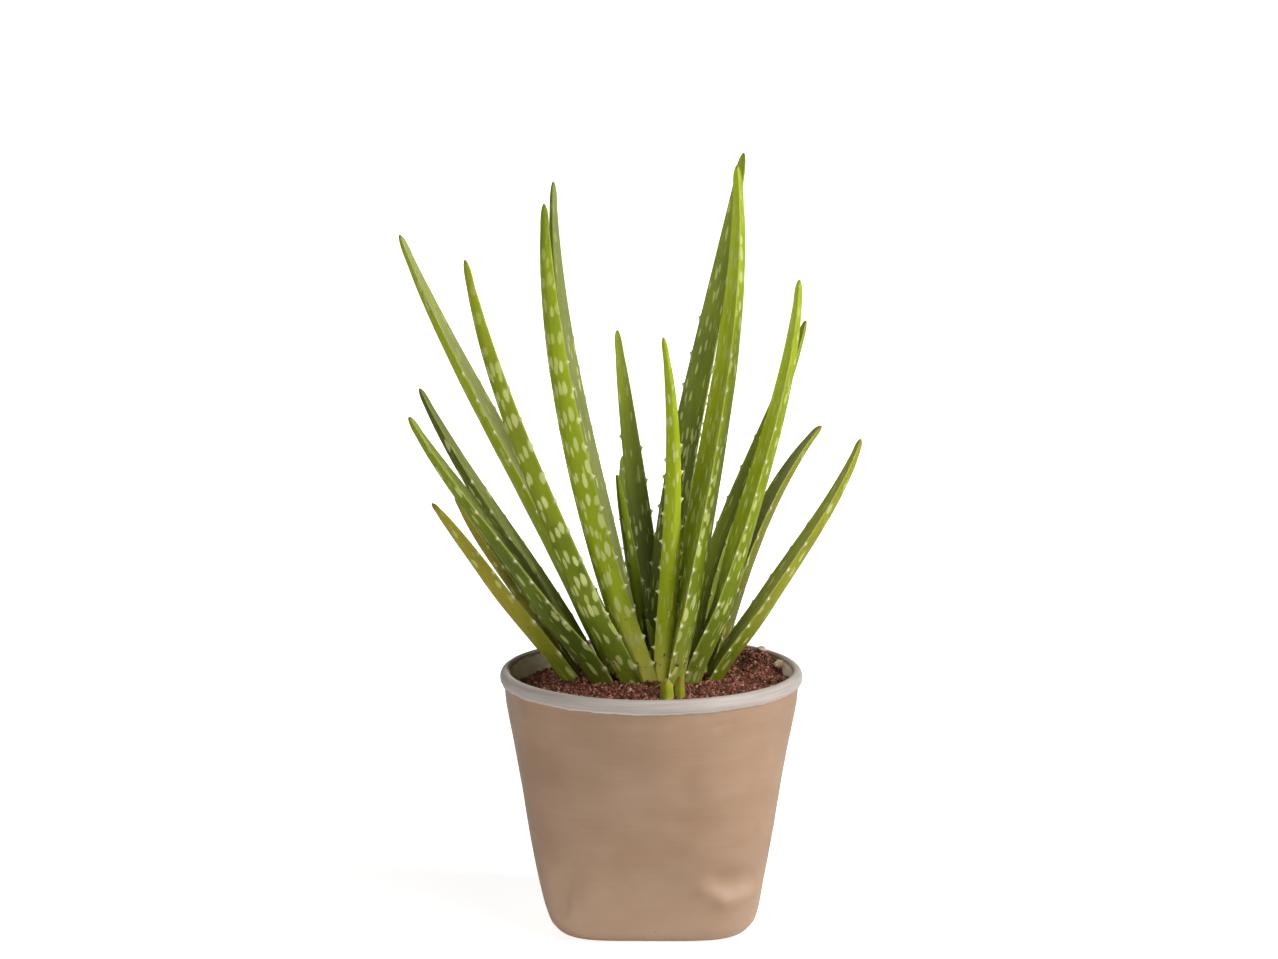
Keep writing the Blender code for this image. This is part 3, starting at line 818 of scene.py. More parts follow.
def clay_body(tree, place, patches, strokes, colours):
    """Brushed brown clay, lighter towards its foot as painted light from the floor, with a few dark specks.
    """
    body = blend(tree, patches, colours.shade, colours.body)
    body = tint(tree, strokes, body, *STROKE_TINT)
    body = tint(tree, mottle(tree, place, *WIDE_STROKES), body, *WIDE_STROKE_TINT)
    # Painted light from the floor, lightening the clay towards its foot
    foot = rest_of(tree, rise(tree, split(tree, place)[2], *FOOT_BOUNCE_LIGHT_HEIGHTS))
    body = tint(tree, foot, body, *FOOT_BOUNCE_LIGHT_TINT)
    return tint(tree, dots(tree, place, *CLAY_SPECKS), body, *SPECK_TINT)


def clay_material(colours):
    """Brushed brown clay with a pale painted band and a cream inside."""
    material, tree, surface = new_material("Brushed clay", colours.body)
    place = object_millimetres(tree)
    edge = attribute(tree, "rim_mm", "Fac")
    patches = mottle(tree, place, *CLAY_PATCHES)
    strokes = mottle(tree, place, *CLAY_STROKES)
    body = clay_body(tree, place, patches, strokes, colours)
    band = blend(tree, mottle(tree, place, *BAND_STROKES), colours.band_shade, colours.band)
    # Whiter, thicker paint at the band's foot, which is also a painted highlight along its ledge
    band = tint(tree, stripe(tree, edge, *THICK_PAINT_AND_HIGHLIGHT), band, *THICK_PAINT_AND_HIGHLIGHT_TINT)
    inside = blend(tree, mottle(tree, place, *INSIDE_WASH), paint(*INSIDE_SHADE), colours.inside)
    wavering = shift(tree, edge, mottle(tree, place, *BAND_WAVER), 0.9)
    colour = blend(tree, rise(tree, wavering, *PAINT_START), body, band)
    colour = blend(tree, rise(tree, wavering, *INSIDE_START), colour, inside)
    colour = blend(tree, stripe(tree, wavering, *BARE_LINE), colour, colours.bare_line, 0.75)
    relief = scaled(tree, strokes, 0.6, maths(tree, "MULTIPLY", patches, 0.8))
    feed(tree, surface, {
        "Base Color": colour,
        "Roughness": scaled(tree, strokes, 0.12, 0.46),
        "Normal": bump(tree, relief, 0.35, 0.12),
        "Specular IOR Level": 0.4,
    })
    return material


def soil_material(colours):
    """Reddish brown coir and peat, each crumb with its own tone."""
    material, tree, surface = new_material("Coir and peat", colours.mid)
    grain = mottle(tree, object_millimetres(tree), *SOIL_GRAIN)
    tone = shift(tree, attribute(tree, "tone", "Fac"), grain, 0.35)
    colour = blend(tree, rise(tree, tone, 0.0, 0.55), colours.dark, colours.mid)
    feed(tree, surface, {
        # The lightest crumbs also carry painted glints
        "Base Color": blend(tree, rise(tree, tone, 0.55, 1.1), colour, colours.light),
        "Roughness": scaled(tree, grain, 0.3, 0.55),
        "Normal": bump(tree, grain, 0.6, 0.25),
    })
    return material


def patchy_material(name, colour, darker, size, contrast, relief, roughness):
    """A dry finish with darker patches and low relief."""
    material, tree, surface = new_material(name, colour)
    patches = mottle(tree, object_millimetres(tree), (size, size, size), contrast)
    feed(tree, surface, {
        "Base Color": blend(tree, patches, paint(*darker), colour),
        "Normal": bump(tree, patches, *relief),
        "Roughness": roughness,
    })
    return material


def fibre_material(colours):
    """Dry coir fibre, darker in places."""
    return patchy_material("Coir fibre", colours.fibre, (92, 58, 42), 2.0, 0.2, (0.4, 0.1), 0.7)


def stalk_material(colours):
    """Pale dry stalk with brown patches."""
    return patchy_material("Dry stalk", colours.stalk, (176, 140, 66), 2.6, 0.3, (0.4, 0.1), 0.6)


def pebble_material(colours):
    """Cream stone with faint brown stains."""
    return patchy_material("Cream stone", colours.pebble, (176, 148, 120), 1.1, 0.2, (0.5, 0.15), 0.6)


def fleck_mask(tree, place, share, banding, colours):
    """Pale flecks: side by side in bands on some leaves, loosely strewn on the others."""
    half_wide = colours.fleck_width / MM / 2.0
    half_long = colours.fleck_length / MM / 2.0
    narrow = scaled(tree, banding, -NARROWER_OFF_BANDS, 1.0 + NARROWER_OFF_BANDS)
    factors = add(tree, "ShaderNodeCombineXYZ", {"X": narrow, "Y": 1.0, "Z": 1.0}).outputs[0]
    place = vector_maths(tree, "MULTIPLY", place, factors)
    in_bands = maths(tree, "MULTIPLY", share, banding)
    loose = maths(tree, "MULTIPLY", share, scaled(tree, banding, -FEWER_BESIDE_BANDS, 1.0))
    mask = 0.0
    for usual, kind in ((in_bands, FLECKS_IN_BANDS), (loose, LOOSE_FLECKS), (loose, THIN_DASHES)):
        pitch, (wide, long), part, strength, jitter, waver = kind
        flecks = dots(
            tree, place, (*pitch, 1.0), (half_wide * wide, half_long * long, 1000.0),
            maths(tree, "MULTIPLY", usual, part), jitter, FLECK_SOFTNESS, waver, "2D",
        )
        mask = maths(tree, "MAXIMUM", mask, maths(tree, "MULTIPLY", flecks, strength))
    return mask


def flesh_colour(tree, fresh, yellowed, back, share, patches, colours):
    """Dark old green to light young green, which also paints shade low in the clump and light near the
    tips, yellowed towards the tip and pale at the foot.
    """
    age_and_light = shift(tree, fresh, patches, AGE_PATCHES)
    colour = blend(tree, rise(tree, age_and_light, *OLD_AGES), colours.deep, colours.old)
    colour = blend(tree, age_and_light, colour, colours.fresh)
    # Painted light near the tips: the sunlit colour, full on the channel side and weak on the back
    painted_light_strength = scaled(tree, back, -0.8, 1.0)
    colour = blend(tree, rise(tree, age_and_light, *SUNLIT_AGES), colour, colours.sunlit, painted_light_strength)
    upper = rise(tree, maths(tree, "ADD", share, patches), *YELLOWED_SHARES)
    colour = blend(tree, upper, colour, colours.yellow, yellowed)
    return blend(tree, attribute(tree, "blade_pale", "Fac"), colour, colours.base)


def add_bloom_and_sheen(tree, colour, place, channel, colours):
    """Greyish bloom and painted sheen in the channel, crossed by fine lines along the leaf."""
    veil = scaled(tree, mottle(tree, place, *BLOOM_AND_SHEEN_VEIL), 0.3, 0.62)
    colour = blend(tree, channel, colour, colours.bloom_and_sheen, veil)
    lines = maths(tree, "MULTIPLY", channel, mottle(tree, place, *BLOOM_LINES))
    return blend(tree, lines, colour, colours.old, BLOOM_LINE_STRENGTH)


def add_flecks(tree, colour, place, left, share, looks, colours):
    """Pale flecks that fade out at the tip, and towards the end of a banded leaf."""
    fleck_share, banding = looks
    flecks = fleck_mask(tree, place, fleck_share, banding, colours)
    flecks = maths(tree, "MULTIPLY", flecks, rise(tree, left, *FLECKS_START))
    banded_end = maths(tree, "MULTIPLY", rise(tree, share, *BANDS_FADE), banding)
    strength = scaled(tree, rise(tree, share, 0.0, 0.2), 0.3, 0.6)
    strength = maths(tree, "MULTIPLY", strength, scaled(tree, banded_end, -0.6, 1.0))
    return blend(tree, flecks, colour, colours.fleck, strength)


def leaf_material(colours):
    """Fleshy green with flecks, fibres, pale margins and teeth, a pale foot and a dried tip."""
    material, tree, surface = new_material("Aloe flesh", colours.fresh)
    place = attribute(tree, "blade_mm")
    left = split(tree, place)[2]
    flat = vector_maths(tree, "MULTIPLY", place, (1.0, 1.0, 0.0))
    fresh, yellowed, fleck_share = split(tree, attribute(tree, "blade_looks"))
    back, banding, bloom_and_sheen_share = split(tree, attribute(tree, "blade_marks"))
    spread, share, tooth = split(tree, attribute(tree, "blade_zone"))
    fibres = mottle(tree, flat, *LEAF_FIBRES)
    streaks = mottle(tree, flat, *LEAF_STREAKS)
    patches = mottle(tree, flat, *LEAF_PATCHES)
    colour = flesh_colour(tree, fresh, yellowed, back, share, patches, colours)
    colour = blend(tree, streaks, colour, colours.old, STREAK_STRENGTH)
    colour = blend(tree, fibres, colour, colours.fleck, FIBRE_STRENGTH)
    # Greyish colour in the channel: bloom, and painted sheen
    channel = maths(tree, "MULTIPLY", rest_of(tree, back), bloom_and_sheen_share)
    colour = add_bloom_and_sheen(tree, colour, flat, channel, colours)
    colour = add_flecks(tree, colour, flat, left, share, (fleck_share, banding), colours)
    colour = blend(tree, rise(tree, spread, *MARGIN_LINE), colour, colours.margin, MARGIN_STRENGTH)
    colour = blend(tree, tooth, colour, colours.tooth)
    dry = rest_of(tree, rise(tree, left, 0.4, scaled(tree, yellowed, 9.0, 2.0)))
    colour = blend(tree, dry, colour, colours.tip, DRY_STRENGTH)
    lower = rest_of(tree, rise(tree, share, *SPECKS_FADE))
    specks = dots(tree, flat, *LEAF_SPECKS, dimensions="2D")
    feed(tree, surface, {
        "Base Color": blend(tree, specks, colour, colours.speck, lower),
        "Roughness": scaled(tree, streaks, 0.1, 0.4),
        "Normal": bump(tree, scaled(tree, streaks, 1.4, fibres), 0.3, 0.09),
        "Specular IOR Level": 0.1,
        "Subsurface Weight": 0.1,
        "Subsurface Radius": (0.6, 1.0, 0.2),
        "Subsurface Scale": 1.5 * MM,
    })
    return material


def floor_material(stage):
    """Plain pale floor that glows a little to the camera, more so far from the pot."""
    material, tree, surface = new_material("Pale floor", stage.floor)
    place = object_millimetres(tree)
    cloud = mottle(tree, place, *FLOOR_CLOUDS)
    darker = tuple(value * 0.97 for value in stage.floor)
    away = vector_maths(tree, "LENGTH", place, output="Value")
    far = scaled(tree, rise(tree, away, *FLOOR_FAR), 0.75, stage.glow)
    seen = add(tree, "ShaderNodeLightPath").outputs["Is Camera Ray"]
    feed(tree, surface, {
        "Base Color": blend(tree, cloud, stage.floor, darker),
        "Emission Strength": scaled(tree, far, seen, stage.bounce),
        "Emission Color": (1.0, 1.0, 1.0, 1.0),
        "Roughness": 0.85,
    })
    return material


# Pot


def cavity_half_width(height):
    """Return half the width of the pot's inside at a height."""
    lip = POT_HEIGHT - LIP_DEPTH
    at_lip = RIM_RADIUS - WALL
    at_band = smooth_between(BODY_HALF_WIDTHS, BODY_TOP) - WALL
    if height > BODY_TOP:
        return at_band + (at_lip - at_band) * min((height - BODY_TOP) / (lip - BODY_TOP), 1.0)
    return smooth_between(BODY_HALF_WIDTHS, height) - WALL


def pot_profile():
    """List the pot's section from the middle of its underside to the middle of its floor."""
    start = FOOT_PROFILE[-1][1]
    widest, end = BAND_PROFILE[0]
    steps = round((end - start) / BODY_STEP)
    half_widths = (*BODY_HALF_WIDTHS, (end, widest))
    heights = [start + (end - start) * step / steps for step in range(1, steps)]
    body = [(smooth_between(half_widths, height), height) for height in heights]
    inside = [(cavity_half_width(level), level) for level in (*UPPER_INSIDE_LEVELS, *INSIDE_LEVELS)]
    floor = [(FLOOR_HALF_WIDTH, FLOOR_THICKNESS), (0.0, FLOOR_THICKNESS)]
    return [(0.0, 0.0), *FOOT_PROFILE, *body, *BAND_PROFILE, *inside, *floor]


def distance_from_band(profile):
    """Return how far each point of the section is past the foot of the band, along the section."""
    steps = [math.dist(first, second) for first, second in zip(profile, profile[1:])]
    travelled = np.concatenate([[0.0], np.cumsum(steps)])
    return travelled - travelled[profile.index(BAND_PROFILE[PAINT_POINT])]


def fold_depth(angle, height, radius):
    """Return how far the finer folds press the clay in at a place on the wall."""
    depth = 0.0
    for first, low, second, high, width, deep in FOLDS:
        reach = math.radians(second - first) * radius
        climb = high - low
        turn = (angle - math.radians(first) + math.pi) % (2.0 * math.pi) - math.pi
        across = turn * radius
        up = height - low
        share = min(max((across * reach + up * climb) / (reach * reach + climb * climb), 0.0), 1.0)
        away = math.hypot(across - share * reach, up - share * climb) / width
        depth += deep * math.exp(-away * away)
    return depth


def dent_depth(angle, height):
    """Return how far the clay is pressed in at a place on the wall."""
    depth = 0.0
    for middle, level, spread, tall, deep in DENTS:
        turn = (math.degrees(angle) - middle + 180.0) % 360.0 - 180.0
        depth += deep * math.exp(-(turn / spread) ** 2 - ((height - level) / tall) ** 2)
    return depth


def shape_pot_point(x, y, z, fine=True):
    """Move a point of the turned pot onto its rounded square, dented form."""
    radius = math.hypot(x, y)
    if radius < 1e-6:
        return x, y, z
    angle = math.atan2(y, x)
    squareness = float(smooth_step((ROUND_ABOVE - z) / ROUND_ABOVE))
    exponent = ROUND_EXPONENT + (SQUARE_EXPONENT - ROUND_EXPONENT) * squareness
    across = abs(math.cos(angle)) ** exponent + abs(math.sin(angle)) ** exponent
    length = radius * across ** (-1.0 / exponent)
    pressed = dent_depth(angle, z)
    if fine:
        pressed += fold_depth(angle, z, radius)
        way = Vector((math.cos(angle), math.sin(angle), z / WALL_STRETCH))
        pressed += sum(deep * noise.noise(way * pitch) for pitch, deep in WALL_UNEVENNESS)
    length -= pressed * min(radius / RIM_RADIUS, 1.0)
    return length * math.cos(angle), length * math.sin(angle), z


def waver_band(x, y, z, past):
    """Let the foot of the painted band run a little unevenly."""
    near = math.exp(-(past / BAND_WAVER_REACH) ** 2)
    way = Vector((x, y, 0.0)).normalized()
    z += near * sum(tall * noise.noise(way * pitch) for pitch, tall in BAND_UNEVENNESS)
    pitch, swell = BAND_SWELL
    out = 1.0 + near * swell * noise.noise(way * pitch + Vector((0.0, 0.0, 3.0)))
    return x * out, y * out, z


class ALOE_OT_pot(bpy.types.Operator):
    """Spin the pot's wall, press it into its soft square and paint its band"""

    bl_idname = "aloe.pot"
    bl_label = "Clay Pot"

    def execute(self, context):
        settings = context.scene.aloe_pot
        profile = pot_profile()
        clear_selection()
        bpy.ops.mesh.primitive_plane_add(size=MM)
        pot = context.object
        edit(pot)
        bpy.ops.mesh.merge(type="CENTER")
        for (radius, height), (next_radius, next_height) in zip(profile, profile[1:]):
            step = ((next_radius - radius) * MM, 0.0, (next_height - height) * MM)
            bpy.ops.mesh.extrude_region_move(TRANSFORM_OT_translate={"value": step})
        bpy.ops.mesh.select_all(action="SELECT")
        bpy.ops.mesh.spin(steps=settings.sides, angle=2.0 * math.pi, center=(0, 0, 0), axis=(0, 0, 1))
        weld_and_turn_out(pot)
        self.shape(pot, profile)
        choose(pot)
        bpy.ops.object.shade_smooth_by_angle(angle=POT_SMOOTHING)
        finish_piece(pot, "clay_pot", "clay", clay_material(settings), "pot")
        return {"FINISHED"}

    def shape(self, pot, profile):
        """Place every vertex on the pressed form and note its distance from the band."""
        past = distance_from_band(profile)
        section = np.array(profile)
        points = get_points(pot) / MM
        distances = []
        for index, (x, y, z) in enumerate(points):
            nearest = np.abs(section[:, 0] - math.hypot(x, y)) + np.abs(section[:, 1] - z)
            distances.append(past[int(np.argmin(nearest))])
            points[index] = shape_pot_point(x, y, z)
            if abs(distances[-1]) < BAND_WAVER_END:
                points[index] = waver_band(*points[index], distances[-1])
        set_points(pot, points * MM)
        set_attribute(pot.data, "rim_mm", distances)


# Soil


def crown_reach(x, y):
    """Return how far out of the clump's middle a place lies, as a share of the clump's reach."""
    return math.hypot((x - CROWN_PLACE[0]) / CROWN_REACH[0], (y - CROWN_PLACE[1]) / CROWN_REACH[1])


def soil_height(x, y):
    """Return the height of the soil's smooth surface, as in its solid."""
    heap = math.hypot(x - HEAP_PLACE[0], y - HEAP_PLACE[1]) / HEAP_SPREAD
    bare = float(smooth_step((crown_reach(x, y) - FLAT_SHARE) / FADE_SHARE))
    ripple = math.sin(0.23 * x + 0.6) * math.cos(0.19 * y) + 0.5 * math.sin(0.41 * y - 0.33 * x)
    return SOIL_LEVEL + bare * (HEAP_HEIGHT * math.exp(-heap * heap) + RIPPLE * ripple)


def soil_surface(x, y):
    """Return the height of the soil's rough surface, heaped round the clump and banked on the right."""
    mound = 1.0 - float(smooth_step((crown_reach(x, y) - MOUND_START) / MOUND_FADE))
    height = soil_height(x, y) + MOUND_HEIGHT * mound
    height += BANK_HEIGHT * float(smooth_step((x - BANK_START) / BANK_REACH))
    for number, (size, tall) in enumerate(SOIL_LUMPS):
        height += tall * noise.noise(Vector((x / size, y / size, 7.0 * number)))
    return height


def soil_edge(height):
    """Return the radius of the soil where it meets the wall."""
    return cavity_half_width(height) - SEAT_GAP


class ALOE_OT_soil_bed(bpy.types.Operator):
    """Make the rough bed of soil and its plug down to the pot's floor"""

    bl_idname = "aloe.soil_bed"
    bl_label = "Soil Bed"

    steps = 190

    def execute(self, context):
        settings = context.scene.aloe_soil
        clear_selection()
        bpy.ops.mesh.primitive_grid_add(x_subdivisions=self.steps, y_subdivisions=self.steps, size=2.0)
        bed = context.object
        self.shape_top(bed)
        self.add_plug(bed)
        points = get_points(bed) / MM
        for index, (x, y, z) in enumerate(points):
            if z < BODY_TOP:
                points[index] = shape_pot_point(x, y, z, fine=False)
        # The bed between the crumbs is kept dark as painted shade in the gaps
        tone, spread, pitch = BED_SHADE_TONE
        tones = [tone + spread * noise.noise(Vector((x / pitch, y / pitch, 5.0))) for x, y, z in points]
        set_points(bed, points * MM)
        set_attribute(bed.data, "tone", tones)
        weld_and_turn_out(bed)
        choose(bed)
        bpy.ops.object.shade_smooth_by_angle(angle=SOIL_SMOOTHING)
        finish_piece(bed, "soil_bed", "potting_soil", soil_material(settings), "soil")
        return {"FINISHED"}

    def shape_top(self, bed):
        """Round the square grid to a disc and lay it on the rough surface."""
        points = get_points(bed)
        edge = soil_edge(SOIL_LEVEL)
        for index, (x, y, z) in enumerate(points):
            round_x = x * math.sqrt(1.0 - y * y / 2.0) * edge
            round_y = y * math.sqrt(1.0 - x * x / 2.0) * edge
            height = min(soil_surface(round_x, round_y), POT_HEIGHT - LIP_DEPTH)
            rim = float(smooth_step(math.hypot(round_x, round_y) / edge * 10.0 - 9.0))
            widen = 1.0 + (soil_edge(height) / edge - 1.0) * rim
            points[index] = (round_x * widen * MM, round_y * widen * MM, height * MM)
        set_points(bed, points)

    def add_plug(self, bed):
        """Extrude the rim of the bed down the wall and close it at the floor."""
        edit(bed)
        bpy.ops.mesh.select_all(action="DESELECT")
        bpy.ops.mesh.select_non_manifold()
        width = soil_edge(SOIL_LEVEL)
        levels = [(soil_edge(level), level) for level in INSIDE_LEVELS]
        for half_width, level in levels + [(FLOOR_HALF_WIDTH - SEAT_GAP, FLOOR_THICKNESS + SEAT_GAP)]:
            bpy.ops.mesh.extrude_edges_move()
            narrow = half_width / width
            bpy.ops.transform.resize(value=(narrow, narrow, 0.0), center_override=(0, 0, level * MM))
            width = half_width
        bpy.ops.mesh.edge_face_add()
        clear_selection()


def crumb_shapes(count, detail, keep, draw):
    """Model a few odd crumbs of radius 1 and return their points and triangles."""
    shapes = []
    lump, pitch = CRUMB_SWELL
    for number in range(count):
        clear_selection()
        bpy.ops.mesh.primitive_ico_sphere_add(subdivisions=detail, radius=1.0)
        crumb = bpy.context.object
        points = get_points(crumb)
        for index, point in enumerate(points):
            swell = 1.0 + lump * noise.noise(Vector(point) * pitch + Vector((9.0 * number, 0.0, 0.0)))
            points[index] = point * swell * draw.uniform(*CRUMB_ROUGHNESS)
        set_points(crumb, points)
        if keep < 1.0:
            thin = crumb.modifiers.new("Fewer faces", "DECIMATE")
            thin.ratio = keep
            bpy.ops.object.modifier_apply(modifier=thin.name)
        faces = np.array([face.vertices[:] for face in crumb.data.polygons])
        shapes.append((get_points(crumb), faces))
        bpy.data.objects.remove(crumb)
    return shapes


def random_turns(count, rng):
    """Return random rotation matrices."""
    spins = rng.normal(size=(count, 4))
    w, x, y, z = (spins / np.linalg.norm(spins, axis=1, keepdims=True)).T
    rows = (
        (1 - 2 * (y * y + z * z), 2 * (x * y - z * w), 2 * (x * z + y * w)),
        (2 * (x * y + z * w), 1 - 2 * (x * x + z * z), 2 * (y * z - x * w)),
        (2 * (x * z - y * w), 2 * (y * z + x * w), 1 - 2 * (x * x + y * y)),
    )
    return np.stack([np.stack(row, axis=-1) for row in rows], axis=1)


def scatter(name, shapes, places, sizes, tones, rng):
    """Copy crumbs to many places, each turned and stretched its own way, as one mesh."""
    turns = random_turns(len(places), rng)
    stretches = rng.uniform(*CRUMB_STRETCH, size=(len(places), 3)) * np.asarray(sizes)[:, None]
    points, faces, point_tones = [], [], []
    start = 0
    for number, place in enumerate(places):
        shape_points, shape_faces = shapes[number % len(shapes)]
        points.append((shape_points * stretches[number]) @ turns[number].T + place)
        faces.append(shape_faces + start)
        point_tones.append(np.full(len(shape_points), tones[number]))
        start += len(shape_points)
    mesh = bpy.data.meshes.new(name)
    mesh.from_pydata(np.concatenate(points) * MM, [], np.concatenate(faces).tolist())
    mesh.update()
    set_attribute(mesh, "tone", np.concatenate(point_tones))
    piece = bpy.data.objects.new(name, mesh)
    bpy.context.scene.collection.objects.link(piece)
    choose(piece)
    bpy.ops.object.shade_smooth()
    return piece


def soil_places(count, sink, sizes, rng):
    """Draw places on the soil's surface, each crumb sunk a little into it."""
    places = []
    while len(places) < count:
        x, y = rng.uniform(-66.0, 66.0, size=2)
        size = sizes[len(places)]
        if math.hypot(x, y) < soil_edge(soil_height(x, y)) - size:
            height = soil_surface(x, y) + size * (0.45 - sink * rng.uniform())
            places.append((x, y, min(height, POT_HEIGHT - 1.0)))
    return np.array(places)


class ALOE_OT_crumbs(bpy.types.Operator):
    """Scatter coarse crumbs and small grains over the bed, and a few on the leaves"""

    bl_idname = "aloe.crumbs"
    bl_label = "Soil Crumbs"

    def execute(self, context):
        settings = context.scene.aloe_soil
        draw = random.Random(CRUMB_SEED)
        rng = np.random.default_rng(CRUMB_SEED)
        material = bpy.data.materials["Coir and peat"]
        coarse = crumb_shapes(*CRUMB_SHAPES, draw)
        fine = crumb_shapes(*GRAIN_SHAPES, draw)
        kinds = (
            ("soil_crumbs", coarse, settings.crumbs, settings.crumb_size, CRUMBS_LIE),
            ("soil_grains", fine, settings.grains, settings.grain_size, GRAINS_LIE),
        )
        for name, shapes, count, radius, (spread, sink, tone, tone_spread, lightest) in kinds:
            sizes = radius / MM * rng.lognormal(0.0, spread, count)
            places = soil_places(count, sink, sizes, rng)
            tones = np.clip(rng.normal(tone, tone_spread, count), 0.0, lightest)
            crumbs = scatter(name, shapes, places, sizes, tones, rng)
            finish_piece(crumbs, name, "potting_soil", material)
        self.dust_leaves(fine, rng, material)
        return {"FINISHED"}

    def dust_leaves(self, shapes, rng, material):
        """Stick a few grains to the backs of the leaves near the soil."""
        places, sizes = [], []
        share, larger = LARGER_DUST
        for name in LEAVES:
            leaf = LeafForm(name)
            if leaf.half_width < DUSTED_WIDTH:
                continue
            for _ in range(int(leaf.half_width * DUST_SHARE)):
                distance = DUST_START + rng.exponential(DUST_REACH)
                place = rng.uniform(-0.85, 0.85)
                radius = rng.uniform(*DUST_RADIUS)
                sizes.append(radius * (larger if rng.uniform() < share else 1.0))
                places.append(leaf.surface(np.array(distance), np.array(place), np.array(True)))
        tones = rng.uniform(0.3, 0.9, len(places))
        dust = scatter("leaf_grains", shapes, np.array(places), sizes, tones, rng)
        finish_piece(dust, "leaf_grains", "potting_soil", material)


def new_curve(name, radius, roundness):
    """Start a round curve with closed ends, its radius in millimetres."""
    curve = bpy.data.curves.new(name, "CURVE")
    curve.dimensions = "3D"
    curve.bevel_depth = radius * MM
    curve.bevel_resolution = roundness
    curve.use_fill_caps = True
    return curve


def finish_curve(curve, name, slot, material):
    """Turn a curve into a smooth mesh and finish it as a piece."""
    strands = bpy.data.objects.new(name, curve)
    bpy.context.scene.collection.objects.link(strands)
    choose(strands)
    bpy.ops.object.convert(target="MESH")
    bpy.ops.object.shade_smooth()
    finish_piece(bpy.context.object, name, slot, material)


def add_fibre(curve, start, heading, length, lift, draw):
    """Add one wandering fibre to a curve, in millimetres."""
    spline = curve.splines.new("POLY")
    spline.points.add(FIBRE_STEPS)
    place = Vector(start)
    turn = draw.uniform(-0.35, 0.35)
    for number, point in enumerate(spline.points):
        share = number / FIBRE_STEPS
        point.co = (*(place * MM), 1.0)
        point.radius = 1.0 - 0.6 * share
        heading += turn + draw.uniform(-0.25, 0.25)
        climb = lift * (1.0 - 1.6 * share) + draw.uniform(-0.12, 0.12)
        place += Vector((math.cos(heading), math.sin(heading), climb)) * (length / FIBRE_STEPS)
        if number < FIBRE_STEPS - 2:
            place.z = max(place.z, soil_surface(place.x, place.y) + 0.2)


class ALOE_OT_litter(bpy.types.Operator):
    """Lay loose fibres, a dry stalk and a few cream pebbles on the soil"""

    bl_idname = "aloe.litter"
    bl_label = "Fibres and Pebbles"

    def execute(self, context):
        settings = context.scene.aloe_soil
        self.lay_fibres(settings)
        self.lay_stalk(settings)
        self.lay_pebbles(settings)
        return {"FINISHED"}

    def lay_fibres(self, settings):
        """Draw the loose fibres and the tufts as one curve."""
        draw = random.Random(FIBRE_SEED)
        curve = new_curve("soil_fibres", FIBRE_RADIUS, 1)
        for _ in range(settings.fibres):
            radius = FIBRE_REACH * math.sqrt(draw.uniform(0.0, 1.0))
            angle = draw.uniform(0.0, 2.0 * math.pi)
            x, y = radius * math.cos(angle), radius * math.sin(angle)
            start = (x, y, soil_surface(x, y) + 0.3)
            inward = angle + math.pi + draw.uniform(-1.3, 1.3)
            add_fibre(curve, start, inward, draw.uniform(*FIBRE_LENGTHS), draw.uniform(0.0, 0.5), draw)
        for *middle, reach in TUFTS:
            for _ in range(TUFT_FIBRES):
                heading = draw.uniform(0.0, 2.0 * math.pi)
                start = [place + draw.uniform(-0.5, 0.5) * reach for place in middle]
                length = draw.uniform(*TUFT_LENGTHS) * reach
                add_fibre(curve, start, heading, length, draw.uniform(-1.0, 1.5), draw)
        finish_curve(curve, "soil_fibres", "potting_soil", fibre_material(settings))

    def lay_stalk(self, settings):
        """Draw the dry stalk as one smooth curve that thins upwards."""
        curve = new_curve("dry_stalk", STALK_RADIUS, 3)
        spline = curve.splines.new("NURBS")
        spline.points.add(len(STALK) - 1)
        for number, (point, place) in enumerate(zip(spline.points, STALK)):
            point.co = (*(Vector(place) * MM), 1.0)
            point.radius = 1.0 - 0.1 * number
        spline.use_endpoint_u = True
        finish_curve(curve, "dry_stalk", "leaf", stalk_material(settings))

    def lay_pebbles(self, settings):
        """Shape each pebble from a sphere and join them."""
        pebbles = []
        for number, (x, y, size) in enumerate(PEBBLES):
            clear_selection()
            bpy.ops.mesh.primitive_ico_sphere_add(subdivisions=4, radius=1.0)
            pebble = bpy.context.object
            points = get_points(pebble)
            for index, point in enumerate(points):
                way = Vector(point) + Vector((4.0 * number, 0.0, 0.0))
                swell = 1.0 + 0.3 * noise.noise(way * 1.1) + 0.08 * noise.noise(way * 3.5)
                points[index] = point * swell * np.array(PEBBLE_FLATNESS)
            middle = np.array((x, y, soil_surface(x, y) + 0.45 * size))
            set_points(pebble, (points * size + middle) * MM)
            pebbles.append(pebble)
        choose(pebbles[0])
        for pebble in pebbles:
            pebble.select_set(True)
        bpy.ops.object.join()
        bpy.ops.object.shade_smooth()
        finish_piece(pebbles[0], "soil_pebbles", "potting_soil", pebble_material(settings))


# Leaves


